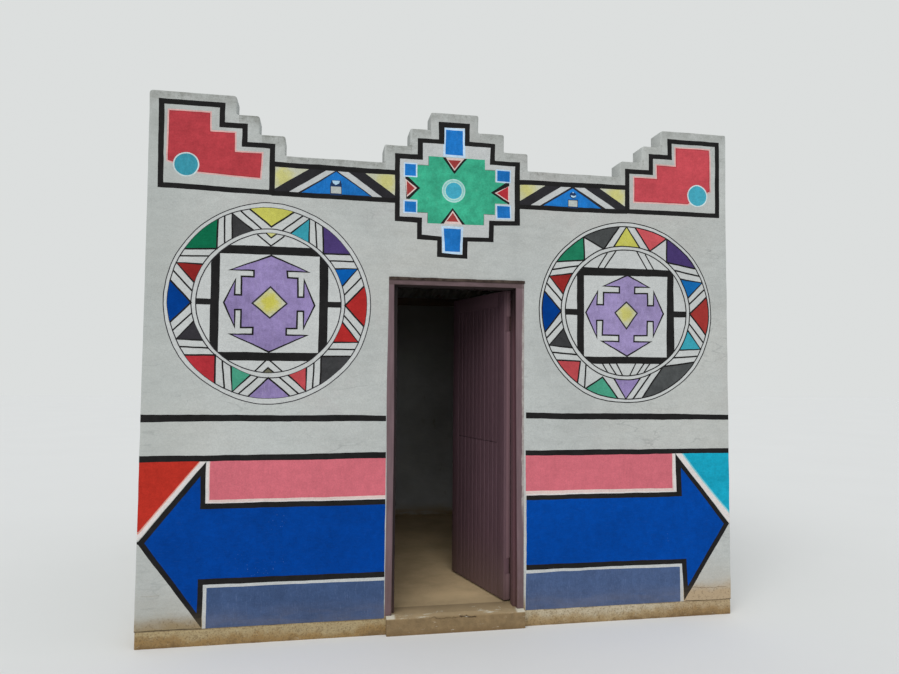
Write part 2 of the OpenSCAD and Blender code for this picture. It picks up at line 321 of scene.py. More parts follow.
def below_skyline(look):
    """How far a place on the front lies under the top edge above it, in metres."""
    reach, ground = 2, 2.9
    ramp = look.add("ShaderNodeValToRGB", Fac=look.x.run(-reach, reach, kind="LINEAR"))
    ramp.color_ramp.interpolation = "CONSTANT"
    stops = ramp.color_ramp.elements
    for i, (x, level) in enumerate(skyline()):
        stop = stops[i] if i < 2 else stops.new(0.999)
        stop.position = (x + reach) / (2 * reach) if i else 0.0
        stop.color = (level - ground, level - ground, level - ground, 1)
    return Field(ramp.outputs["Color"]) + ground - look.z


def plaster_look(name, colour):
    """Limewashed plaster: mottled, with faint float marks, and grey with weather along the parapet's top."""
    look = Look(name, colour, 0.92, 0.12)
    look.shade(look.noise(1.1, 5, 0.6).run(0.30, 0.72), 0.91, 1.06)
    look.coat((188, 185, 177), look.noise(0.8, 4, 0.55, offset=27.0).run(0.38, 0.66, 0.0, 0.35))
    look.coat((180, 174, 172), look.noise(1.7, 5, 0.6, offset=71.0).run(0.52, 0.68, 0.0, 0.42))
    look.shade(look.noise(9.0, 5, 0.65, (1, 1, 1.6), 44.0).run(0.34, 0.66), 0.96, 1.04)
    look.coat(1.16, look.noise(5.0, 6, 0.65, (1, 1, 5), 9.0).run(0.30, 0.70, 0.0, 0.28))
    for scale, stretch, offset, depth in ((1.9, 3.4, 3.0, 0.42), (4.4, 2.6, 14.0, 0.32)):
        mark = abs(look.noise(scale, 3, 0.5, (1, 1, stretch), offset) - 0.5).run(0.0, 0.011, 1.0, 0.0)
        look.coat(0.62, mark * look.noise(2.4, 3, 0.5, offset=offset + 30).run(0.50, 0.60, 0.0, depth))
    look.coat(0.74, look.noise(16.0, 6, 0.72, (1, 1, 1.3), 21.0).run(0.58, 0.76, 0.0, 0.34))
    look.shade(look.noise(150.0, 3, 0.6, offset=50.0).run(0.30, 0.70), 0.93, 1.07)
    look.coat((166, 171, 167), look.x.run(-1.95, -1.45, 0.40, 0.0))
    weather(look)
    splash(look)
    return look.finish(float_marks(look), FLOAT_DEPTH, 0.85)


def weather(look):
    """Grey lichen and dirt that spread down from the parapet's edge, and painted light and shade on its
    steps' side faces.
    """
    depth = below_skyline(look)
    facing_x, _, facing_z = look.axes(look.add("ShaderNodeNewGeometry").outputs["Normal"])
    across = abs(look.x)
    # Painted light and shade: the steps' side faces are lighter on the corner blocks and a little darker on
    # the centre block.
    lit_step_sides = abs(facing_x).run(0.6, 0.95) * across.run(HALF_W - 0.05, HALF_W - 0.02, 1.0, 0.0)
    look.coat(look.mix(across.run(0.6, 1.2), look.times(0.94), look.times(1.16)), lit_step_sides)
    elsewhere = 1.0 - lit_step_sides
    open_sky = facing_z.run(0.5, 0.8).math("MAXIMUM", look.x.run(-1.6, 1.6, 1.0, 0.55) * elsewhere)
    open_sky = open_sky * depth.run(-0.012, -0.004)
    edge = depth.run(-0.01, 0.100, 1.0, 0.0) * open_sky
    look.coat((112, 112, 104), edge * look.noise(15.0, 6, 0.74, (1, 1, 1.2), 5.0).run(0.36, 0.66, 0.10, 0.72))
    look.coat((86, 85, 77), edge * look.noise(58.0, 4, 0.7, offset=66.0).run(0.56, 0.66, 0.0, 0.62))
    look.coat((96, 96, 88), depth.run(0.0, 0.006, 0.35, 0.0) * open_sky)
    streaks = look.noise(5.0, 5, 0.65, (1.5, 1.5, 1.0), 8.0).run(0.36, 0.68) * elsewhere
    look.coat((146, 148, 143), look.z.run(2.45, 3.30, 0.0, 0.42) * streaks)


def wall_paint(name, colour, stroke=(1, 1, 8), patch=0.14, thin=0.0, under=(198, 200, 198), specks=0.0,
               soil=0.1):
    """House paint brushed on plaster: patchy depth of colour, bristle streaks and thin places."""
    look = Look("paint_" + name, colour, 0.8, 0.05)
    brush(look, colour, colour, stroke, patch)
    look.coat(under, look.noise(18.0, 7, 0.74, stroke, 13.0).run(0.54, 0.76, 0.0, thin))
    if specks:
        near = look.cells(60.0, "Distance").run(0.08, 0.15, 1.0, 0.0)
        look.coat(under, near * look.noise(4.0, 3, 0.5, offset=17.0).run(0.62, 0.72, 0.0, specks))
    stain_with_soil(look, soil)
    return look.finish(float_marks(look), FLOAT_DEPTH, 0.75)


def brush(look, light, dark, stroke, patch):
    """Paint laid on by hand: cloudy, blotchy at a hand's width, and streaked along the stroke."""
    cloudy = look.noise(4.0, 5, 0.6).run(0.28, 0.72)
    look.colour = look.mix(cloudy, scaled(dark, 1 - patch), scaled(light, 1 + patch * 0.8))
    look.shade(look.noise(26.0, 5, 0.65, offset=33.0).run(0.32, 0.68), 1 - 0.7 * patch, 1 + 0.7 * patch)
    look.coat(scaled(light, 1.15), look.noise(12.0, 6, 0.7, stroke, 4.0).run(0.30, 0.70, 0.0, 0.36))
    look.shade(look.noise(150.0, 3, 0.6, offset=50.0).run(0.30, 0.70), 0.92, 1.08)
    return look.colour


def dabbed_yellow():
    """The yellow of the diamonds and, paler, of the bands' corners: strong in the middle, cream outside."""
    look = Look("paint_dabbed_yellow", PAINTS["yellow"], 0.8, 0.05)
    uneven = look.noise(30.0, 5, 0.65).run(0.3, 0.7, -0.14, 0.14)

    def near(*spots):
        """How strong the colour is: 1 at each (x, z, reach) and nought beyond its reach."""
        shares = [look.away_from(X=x, Z=z).math("DIVIDE", reach) for x, z, reach in spots]
        nearest = shares[0]
        for share in shares[1:]:
            nearest = nearest.math("MINIMUM", share)
        return (nearest + uneven).run(0.22, 1.0, 1.0, 0.0)

    cream, yellow, pale = (brush(look, light, dark, (2, 2, 2), patch) for light, dark, patch in (
        ((190, 191, 172), (184, 185, 160), 0.06), ((194, 188, 84), (186, 178, 84), 0.08),
        ((194, 190, 122), (190, 186, 122), 0.06)))
    look.colour = cream
    look.coat(pale, near((-1.131, 2.866, 0.095), (-0.480, 2.875, 0.100), (0.466, 2.872, 0.090),
                         (1.104, 2.870, 0.095)))
    look.coat(yellow, near((-1.197, 2.069, 0.100)))
    look.coat(yellow, near((1.175, 2.052, 0.085)) * 0.8)
    return look.finish(float_marks(look), FLOAT_DEPTH, 0.75)


def paint_set():
    """One material for each paint on the front, and the wash of the room."""
    across, upright, dabbed, swirled = (1, 1, 9), (7, 7, 1), (2, 2, 2), (3, 3, 3)
    royal = dict(stroke=across, patch=0.13, thin=0.10, specks=0.7, under=(96, 132, 190), soil=0.05)
    slate = dict(stroke=upright, patch=0.14, thin=0.34, specks=0.6, under=(128, 144, 182), soil=0.12)
    violet = dict(stroke=(4, 4, 1), patch=0.19, thin=0.50)
    special = {
        "white": dict(stroke=across, patch=0.05),
        "ivory": dict(stroke=across, patch=0.05),
        "pink_white": dict(stroke=across, patch=0.06),
        "dull_white": dict(stroke=across, patch=0.06, soil=0.25),
        "royal": royal,
        "royal_right": royal,
        "slate": slate,
        "slate_right": slate,
        "pink": dict(stroke=upright, patch=0.08, thin=0.28, under=(222, 140, 148)),
        "orange": dict(stroke=across, patch=0.12),
        "cyan": dict(stroke=across, patch=0.16, thin=0.16, under=(120, 196, 208)),
        "red": dict(stroke=across, patch=0.15, thin=0.22, under=(208, 116, 118)),
        "rose": dict(stroke=across, patch=0.13, thin=0.22, under=(214, 124, 126)),
        "blue": dict(stroke=upright, patch=0.20, thin=0.30, under=(104, 158, 212)),
        "teal": dict(stroke=upright, patch=0.14, thin=0.25, under=(120, 184, 196)),
        "lagoon": dict(stroke=upright, patch=0.12, thin=0.25, under=(124, 190, 202)),
        "green": dict(stroke=dabbed, patch=0.24, thin=0.30, under=(118, 186, 156)),
        "violet": dict(under=(184, 174, 202), **violet),
        "lilac": dict(under=(190, 180, 206), **violet),
        "yellow": dict(stroke=dabbed, patch=0.10, thin=0.45, under=(200, 198, 140)),
        "black": dict(stroke=across, patch=0.20, thin=0.05, under=(74, 74, 74), soil=0.15),
        "soot": dict(stroke=swirled, patch=0.24, thin=0.25, under=(84, 82, 84)),
        "grey": dict(stroke=swirled, patch=0.20, thin=0.25, under=(98, 96, 100)),
    }
    made = {name: wall_paint(name, colour, **special.get(name, {})) for name, colour in PAINTS.items()}
    made["dabbed_yellow"] = dabbed_yellow()
    made["plaster"] = plaster_look("plaster_limewash", (180, 183, 180))
    made["inside"] = inside_wash()
    return made


def arc(centre, start, end, steps):
    """Points from start to end round a centre, the short way."""
    a, b = Vector(start) - Vector(centre), Vector(end) - Vector(centre)
    turn = math.atan2(a.x * b.y - a.y * b.x, a.dot(b))
    first = math.atan2(a.y, a.x)
    reach = [a.length + (b.length - a.length) * k / steps for k in range(steps + 1)]
    angles = [first + turn * k / steps for k in range(steps + 1)]
    return [(centre[0] + r * math.cos(t), centre[1] + r * math.sin(t)) for r, t in zip(reach, angles)]


def rounded(corners, steps=4):
    """A closed outline from corners (x, y, radius), with an arc where the radius isn't nought."""
    out = []
    count = len(corners)
    for i, (x, y, r) in enumerate(corners):
        if r == 0:
            out.append((x, y))
            continue
        corner = Vector((x, y))
        before = (Vector(corners[i - 1][:2]) - corner).normalized()
        after = (Vector(corners[(i + 1) % count][:2]) - corner).normalized()
        half = before.angle(after) / 2
        centre = corner + (before + after).normalized() * (r / math.sin(half))
        run = r / math.tan(half)
        out += arc(centre, corner + before * run, corner + after * run, steps)
    return out


def spaced(points, spacing, closed=True):
    """Adds points along straight edges, no further apart than spacing."""
    out = []
    count = len(points)
    for i in range(count if closed else count - 1):
        a, b = Vector(points[i]), Vector(points[(i + 1) % count])
        parts = max(1, math.ceil((b - a).length / spacing))
        out += [tuple(a.lerp(b, k / parts)) for k in range(parts)]
    return out if closed else out + [tuple(points[-1])]


class Painting:
    """Paint shapes in the order of painting, each a paint and its closed loops, in metres."""

    def __init__(self):
        self.shapes = []

    @staticmethod
    def hand(x, z):
        """Shifts a point in millimetres a little, as a hand-held brush does, and returns metres."""
        wide = noise.noise_vector(Vector((x / 170, z / 170, 0.5)))
        near = noise.noise_vector(Vector((x / 42, z / 42, 7.5)))
        return ((x + 2.4 * wide.x + 1.5 * near.x) * MM, (z + 2.4 * wide.y + 1.5 * near.y) * MM)

    def fill(self, paint, *loops):
        """Loops inside one another leave a hole."""
        self.shapes.append((paint, [[self.hand(*p) for p in spaced(loop, 22)] for loop in loops]))

    def box(self, paint, x0, x1, z0, z1):
        self.fill(paint, [(x0, z0), (x1, z0), (x1, z1), (x0, z1)])

    def stroke(self, points, width, paint="black", closed=False, blunt=0.35):
        """A brush line through points, with mitred corners. A higher blunt cuts sharp corners shorter."""
        line = [Vector(p) for p in points]
        count = len(line)
        left, right = [], []
        for i, p in enumerate(line):
            come = (p - line[i - 1]).normalized() if closed or i else None
            leave = (line[(i + 1) % count] - p).normalized() if closed or i < count - 1 else None
            come, leave = come or leave, leave or come
            side = Vector((-come.y, come.x))
            mitre = (side + Vector((-leave.y, leave.x))).normalized()
            reach = width / 2 / max(blunt, mitre.dot(side))
            left.append(tuple(p + mitre * reach))
            right.append(tuple(p - mitre * reach))
        if closed:
            self.fill(paint, left, right)
        else:
            self.fill(paint, left + right[::-1])

    def line(self, *places):
        """A black line across the wall from its (x, lower edge, upper edge) at several places."""
        self.fill("black", [(x, low) for x, low, _ in places] + [(x, high) for x, _, high in places[::-1]])

    def panel(self, paint, points, outline):
        """A filled shape with a black outline."""
        self.fill(paint, points)
        self.stroke(points, outline, closed=True)

    def disc(self, paint, x, z, r):
        self.fill(paint, circle(x, z, r))

    def ring(self, x, z, r, width, paint="line_black"):
        self.fill(paint, circle(x, z, r + width / 2), circle(x, z, r - width / 2))


def circle(x, z, r):
    count = max(24, round(2 * math.pi * r / 15))
    return [(x + r * math.cos(2 * math.pi * k / count), z + r * math.sin(2 * math.pi * k / count))
            for k in range(count)]


class Rings:
    """A roundel's four rings, each as uneven as the hand drew it: a radius at every 30 degrees."""
    OUTER, RIM, INNER, CORE = range(4)
    SNAP = 12

    def __init__(self, x, z, *radii):
        self.centre = Vector((x, z))
        self.radii = radii

    def reach(self, ring, angle):
        """A ring's radius at an angle, run smoothly between its given ones."""
        sizes = self.radii[ring]
        place = angle / (2 * math.pi) * len(sizes) % len(sizes)
        i = int(place)
        share = (1 - math.cos(math.pi * (place - i))) / 2
        return sizes[i % len(sizes)] * (1 - share) + sizes[(i + 1) % len(sizes)] * share

    def spot(self, ring, angle, beyond=0.0):
        r = self.reach(ring, angle) + beyond
        return self.centre + Vector((r * math.cos(angle), r * math.sin(angle)))

    def loop(self, ring, beyond=0.0):
        return [tuple(self.spot(ring, math.radians(1.5 * k), beyond)) for k in range(240)]

    def snap(self, point):
        """The point, and the ring that a piece bends along there if there is one."""
        away = Vector(point) - self.centre
        angle = math.atan2(away.y, away.x)
        for ring in (self.RIM, self.INNER):
            if abs(away.length - self.reach(ring, angle)) < self.SNAP:
                return self.spot(ring, angle), ring
        return Vector(point), None

    def sides(self, points):
        """Each side of a piece as (start, end, the ring it runs along or None)."""
        for i, point in enumerate(points):
            here, ring_here = self.snap(point)
            there, ring_there = self.snap(points[(i + 1) % len(points)])
            yield here, there, ring_here if ring_here == ring_there else None

    def bent(self, points):
        """The piece as a loop, with its sides bent along the rings."""
        out = []
        for here, there, ring in self.sides(points):
            out.append(tuple(here))
            if ring is not None:
                start, end = (math.atan2(p.y - self.centre.y, p.x - self.centre.x) for p in (here, there))
                turn = (end - start + math.pi) % (2 * math.pi) - math.pi
                parts = max(2, round((there - here).length / 20))
                out += [tuple(self.spot(ring, start + turn * k / parts)) for k in range(1, parts)]
        return out

    def straights(self, points):
        """The runs of straight sides, as open lines."""
        sides = list(self.sides(points))
        bent = [i for i, side in enumerate(sides) if side[2] is not None]
        if not bent:
            return [[tuple(side[0]) for side in sides] + [tuple(sides[0][0])]]
        runs, run = [], []
        for i in range(len(sides)):
            here, there, ring = sides[(bent[0] + 1 + i) % len(sides)]
            if ring is not None:
                runs.append(run)
                run = []
            else:
                run = (run or [tuple(here)]) + [tuple(there)]
        return [r for r in runs + [run] if r]

    def clipped_box(self, x0, x1, z0, z1):
        """A box whose corners are cut round by the core ring, as a loop."""
        out = []
        for k in range(180):
            angle = math.radians(2 * k)
            way = Vector((math.cos(angle), math.sin(angle)))
            across = ((x1 if way.x > 0 else x0) - self.centre.x) / way.x if abs(way.x) > 1e-6 else 1e9
            up = ((z1 if way.y > 0 else z0) - self.centre.y) / way.y if abs(way.y) > 1e-6 else 1e9
            out.append(tuple(self.centre + way * min(across, up, self.reach(self.CORE, angle) - 2)))
        return out


def paint_lower_zone(p):
    """The two arrows, the panels beside their shafts and the two lines across the wall."""
    p.fill("orange", [(-1960, 1104), (-1580, 1104), (-1960, 638)])
    p.fill("ivory", [(-1580, 1100), (-1545, 1100), (-1960, 590), (-1960, 630)])
    p.stroke([(-1950, 642), (-1586, 1092)], 6, "peach")
    cyan_edge = [(1960, 658), (1920, 700), (1828, 800), (1740, 900), (1658, 1000), (1576, 1104)]
    p.fill("cyan", [(1960, 1104)] + cyan_edge)
    p.fill("ivory", cyan_edge + [(1530, 1100), (1960, 580)])
    p.stroke(cyan_edge, 10, "pale_cyan")
    p.fill("ivory", [(-1546, 1100), (-461, 1100), (-461, 834), (-1546, 834)])
    p.fill("ivory", [(1526, 1100), (461, 1100), (461, 834), (1538, 834)])
    p.fill("dull_white", [(-1549, 362), (-461, 362), (-461, 90), (-1549, 90)])
    p.fill("dull_white", [(461, 362), (1572, 362), (1580, 90), (461, 90)])
    p.fill("pink_white", [(-1532, 1100), (-461, 1100), (-461, 846), (-1532, 846)])
    p.fill("pink_white", [(461, 1100), (1512, 1100), (1514, 848), (461, 848)])
    p.fill("pink", [(-1526, 1101), (-461, 1101), (-461, 864), (-1000, 861), (-1526, 861)])
    p.fill("pink", [(461, 1101), (1505, 1101), (1506, 866), (461, 869)])
    p.fill("slate", [(-1529, 94), (-461, 94), (-461, 335), (-1000, 340), (-1529, 338)])
    p.fill("slate_right", [(463, 94), (1556, 94), (1553, 333), (900, 340), (465, 336)])
    p.fill("black", [
        (-1931, 617), (-1549, 1092), (-1550, 840), (-461, 840), (-461, 356), (-1550, 357), (-1553, 104)])
    p.fill("black", [
        (1927, 614), (1530, 1098), (1535, 840), (465, 839), (467, 357), (1568, 354), (1584, 104),
        (1769, 380)])
    p.fill("royal", [
        (-1890, 616), (-1579, 1003), (-1578, 806), (-461, 807), (-461, 390), (-1580, 392), (-1583, 194)])
    p.fill("royal_right", [
        (1887, 613), (1570, 1003), (1574, 807), (465, 808), (467, 391), (1602, 385), (1611, 202)])
    p.line((-1960, 1092, 1129), (-1860, 1092, 1129), (-1480, 1094, 1129), (-900, 1095, 1132),
           (-461, 1097, 1135))
    p.line((461, 1100, 1133), (820, 1097, 1134), (1520, 1098, 1131), (1960, 1099, 1132))
    p.line((-1960, 1331, 1378), (-1860, 1331, 1377), (-1740, 1334, 1375), (-1480, 1334, 1375),
           (-1080, 1331, 1369), (-780, 1331, 1372), (-461, 1331, 1366))
    p.line((461, 1344, 1382), (500, 1343, 1381), (820, 1334, 1375), (1120, 1334, 1375), (1520, 1331, 1372),
           (1720, 1331, 1366), (1960, 1326, 1361))
    p.fill("groove", [(-1960, 96), (-1552, 96), (-1552, 103), (-1700, 105), (-1960, 104)])
    p.fill("groove", [(1592, 96), (1960, 96), (1960, 103), (1770, 102), (1592, 103)])
    crack = [(1640, 190), (1668, 194), (1690, 186), (1722, 189), (1748, 181), (1776, 186), (1806, 180),
             (1838, 187), (1866, 182), (1900, 186)]
    p.stroke(crack, 2.6, "stain")
    p.stroke([(-1900, 304), (-1850, 302), (-1795, 305)], 3, "scratch")


def paint_corner(p, frame_line, panel, disc, ring_r, panel_paint, disc_paint):
    """The stepped frame on a corner block, its red panel with a soft edge, and its disc."""
    p.stroke(frame_line, 33, closed=True)
    p.fill("blush", grown(panel, 9))
    p.fill("brick", panel)
    p.fill(panel_paint, grown(panel, -6))
    p.disc("frost", *disc, ring_r)
    p.disc(disc_paint, *disc, ring_r - 8)


def grown(points, by):
    """A loop moved outward by a distance in millimetres, corner by corner."""
    line = [Vector(p) for p in points]
    onward = line[1:] + line[:1]
    turn = 1 if sum(a.x * b.y - b.x * a.y for a, b in zip(line, onward)) > 0 else -1
    out = []
    for i, p in enumerate(line):
        come, leave = (p - line[i - 1]).normalized(), (onward[i] - p).normalized()
        side = Vector((come.y, -come.x)) * turn
        mitre = (side + Vector((leave.y, -leave.x)) * turn).normalized()
        out.append(tuple(p + mitre * (by / max(0.5, mitre.dot(side)))))
    return out


def paint_parapet_corners(p):
    paint_corner(
        p,
        [(-1864, 3297), (-1505, 3297), (-1505, 3174), (-1368, 3174), (-1368, 3057), (-1198, 3057),
         (-1198, 2761), (-1858, 2774)],
        [(-1820, 3243), (-1578, 3243), (-1574, 3128), (-1428, 3128), (-1424, 3005), (-1262, 3005),
         (-1270, 2851), (-1640, 2866), (-1712, 2900), (-1820, 2930)],
        (-1712, 2909), 77, "red", "teal")
    paint_corner(
        p,
        [(1507, 3277), (1872, 3277), (1866, 2766), (1188, 2763), (1188, 3045), (1365, 3045), (1365, 3160),
         (1507, 3160)],
        [(1552, 3232), (1810, 3232), (1812, 2936), (1715, 2890), (1640, 2838), (1240, 2834), (1240, 3003),
         (1410, 3003), (1410, 3098), (1552, 3098)],
        (1715, 2899), 78, "rose", "lagoon")


def paint_band(p, ground, top, bottom, yellows, stripes, gable):
    """A band beside the centre: yellow corners and white stripes on black, and a blue gable."""
    p.box("charcoal", *ground)
    for triangle in yellows:
        p.fill("dabbed_yellow", triangle)
    for stripe in stripes:
        p.fill("dull_white", stripe)
    p.fill("night", grown(gable, 3))
    p.fill("blue", gable)
    p.box("night", gable[1][0] + 10, gable[2][0] - 10, 2764, 2774)
    p.stroke(top, 33)
    p.stroke(bottom, 31)


def paint_bands(p):
    paint_band(
        p, (-1184, -420, 2764, 2932),
        [(-1200, 2943), (-800, 2941), (-408, 2936)], [(-1200, 2757), (-800, 2756), (-408, 2753)],
        ([(-1179, 2926), (-972, 2926), (-1179, 2787)], [(-614, 2920), (-423, 2920), (-423, 2785)]),
        ([(-864, 2924), (-808, 2922), (-1035, 2771), (-1093, 2771)],
         [(-790, 2922), (-722, 2921), (-506, 2769), (-565, 2769)]),
        [(-800, 2918), (-1016, 2770), (-575, 2768)])
    paint_band(
        p, (411, 1176, 2764, 2918),
        [(408, 2922), (800, 2925), (1185, 2929)], [(408, 2755), (800, 2756), (1185, 2760)],
        ([(419, 2907), (595, 2907), (419, 2798)], [(984, 2912), (1171, 2914), (1169, 2798)]),
        ([(713, 2911), (785, 2912), (559, 2771), (493, 2771)],
         [(800, 2912), (868, 2914), (1096, 2777), (1027, 2775)]),
        [(792, 2901), (582, 2771), (997, 2771)])
    p.fill("night", [(-836, 2766), (-763, 2766), (-763, 2836), (-771, 2863), (-828, 2863), (-836, 2836)])
    p.box("limed", -831, -767, 2778, 2821)
    p.fill("haze", [(-825, 2860), (-774, 2860), (-781, 2843), (-800, 2831), (-819, 2843)])
    p.box("night", 755, 828, 2766, 2826)
    p.disc("night", 793, 2854, 23)
    p.box("limed", 760, 823, 2778, 2820)
    p.fill("haze", [(777, 2855), (781, 2843), (796, 2838), (811, 2843), (816, 2856), (797, 2850)])
    p.disc("haze", 794, 2874, 4)


def paint_centre(p):
    """The stepped frame over the door, the green cross-shaped field and what stands in it."""
    outer = [(-136, 3293), (69, 3295), (69, 3173), (244, 3171), (244, 3056), (416, 3056), (416, 2628),
             (238, 2620), (236, 2508), (60, 2506), (60, 2391), (-142, 2396), (-142, 2504), (-274, 2506),
             (-274, 2616), (-420, 2620), (-424, 3064), (-276, 3064), (-276, 3173), (-136, 3173)]
    inner = [(-101, 3258), (39, 3265), (39, 3145), (216, 3145), (212, 3029), (385, 3029), (381, 2654),
             (208, 2648), (206, 2534), (30, 2531), (30, 2414), (-112, 2421), (-115, 2531), (-245, 2537),
             (-245, 2650), (-391, 2650), (-394, 3032), (-244, 3032), (-244, 3146), (-101, 3146)]
    p.fill("dull_white", inner)
    tall_squares = ([(-92, 3078), (26, 3078), (24, 3244), (-90, 3244)],
                    [(-91, 2434), (11, 2434), (15, 2586), (-101, 2586)])
    for square in tall_squares:
        p.fill("pale_blue", grown(square, 15))
    p.fill("black", grown(outer, 1.5), grown(inner, -1.5))
    field = [(-204, 3059), (176, 3059), (177, 2991), (247, 2991), (247, 2912), (335, 2909), (232, 2838),
             (335, 2768), (247, 2765), (247, 2691), (171, 2691), (171, 2616), (-208, 2616), (-208, 2684),
             (-276, 2684), (-276, 2766), (-338, 2768), (-270, 2841), (-340, 2914), (-276, 2916), (-276, 2997),
             (-204, 2997)]
    p.fill("green", field)
    for edge in ([(-204, 3059), (-204, 2997), (-276, 2997)], [(177, 2991), (247, 2991)],
                 [(-276, 2684), (-208, 2684), (-208, 2618)], [(171, 2618), (171, 2691), (247, 2691)]):
        p.stroke(edge, 4, "pencil")
    chevrons = (
        ([(-110, 3058), (-92, 3058), (42, 3058), (54, 3058), (-32, 2950)],
         [(-88, 3058), (36, 3058), (-31, 2972)], [(-73, 3043), (14, 3042), (-30, 2984)]),
        ([(-122, 2616), (44, 2616), (-40, 2723)],
         [(-100, 2616), (24, 2616), (-39, 2705)], [(-83, 2632), (-1, 2632), (-38, 2692)]),
        ([(-355, 2914), (-336, 2914), (-258, 2842), (-330, 2768), (-350, 2768)],
         [(-355, 2900), (-279, 2841), (-345, 2781)], [(-345, 2886), (-293, 2839), (-345, 2791)]),
        ([(345, 2914), (320, 2913), (217, 2838), (336, 2766), (345, 2766)],
         [(345, 2893), (244, 2838), (345, 2780)], [(337, 2888), (337, 2791), (258, 2838)]))
    for red, (black, pale, triangle) in zip(("dull_red", "dull_red", "dull_red", "scarlet"), chevrons):
        p.fill("black", black)
        p.fill("pink_white", pale)
        p.fill(red, triangle)
    for square in tall_squares:
        p.fill("blue", square)
    squares = ([(-358, 2921), (-286, 2921), (-286, 2999), (-358, 2999)],
               [(-359, 2684), (-284, 2684), (-284, 2753), (-359, 2753)],
               [(261, 2921), (348, 2921), (348, 2992), (261, 2992)],
               [(263, 2671), (350, 2674), (347, 2751), (261, 2751)])
    for square in squares:
        p.fill("pale_blue", grown(square, 8))
        p.fill("blue", square)
    p.disc("pale_teal", -35, 2838, 79)
    p.ring(-35, 2838, 74, 6, "mint")
    p.ring(-35, 2838, 58, 5, "mint")
    p.disc("sky", -35, 2838, 54)


def paint_roundel(p, rings, star, diamond, square, ticks, segments, lines, inner_lines, look):
    """Rings, a square frame cut by the core ring, a star of arrowheads, and the pieces of the rim."""
    ring_paint, ring_width, rings_over, line_width, star_paint = look
    p.fill("white", rings.loop(rings.OUTER))

    def draw_rings():
        for ring in range(4):
            half = (ring_width - (ring == rings.OUTER)) / 2
            p.fill(ring_paint, rings.loop(ring, half), rings.loop(ring, -half))

    if not rings_over:
        draw_rings()
    for paint, points in segments:
        p.fill(paint, rings.bent(points))
        for run in rings.straights(points):
            p.stroke(run, 11, blunt=0.75)
    if rings_over:
        draw_rings()
    for line in lines:
        p.stroke([rings.snap(q)[0] for q in line], line_width)
    for line in inner_lines:
        p.stroke(line, 9)
    p.fill("black", rings.clipped_box(*square[0]), square[1])
    for x0, x1, z0, z1 in ticks:
        p.box("black", x0, x1, z0, z1)
    p.panel(star_paint, star, 11)
    p.fill("dabbed_yellow", diamond)
    p.stroke(diamond, 10, "line_black", closed=True)


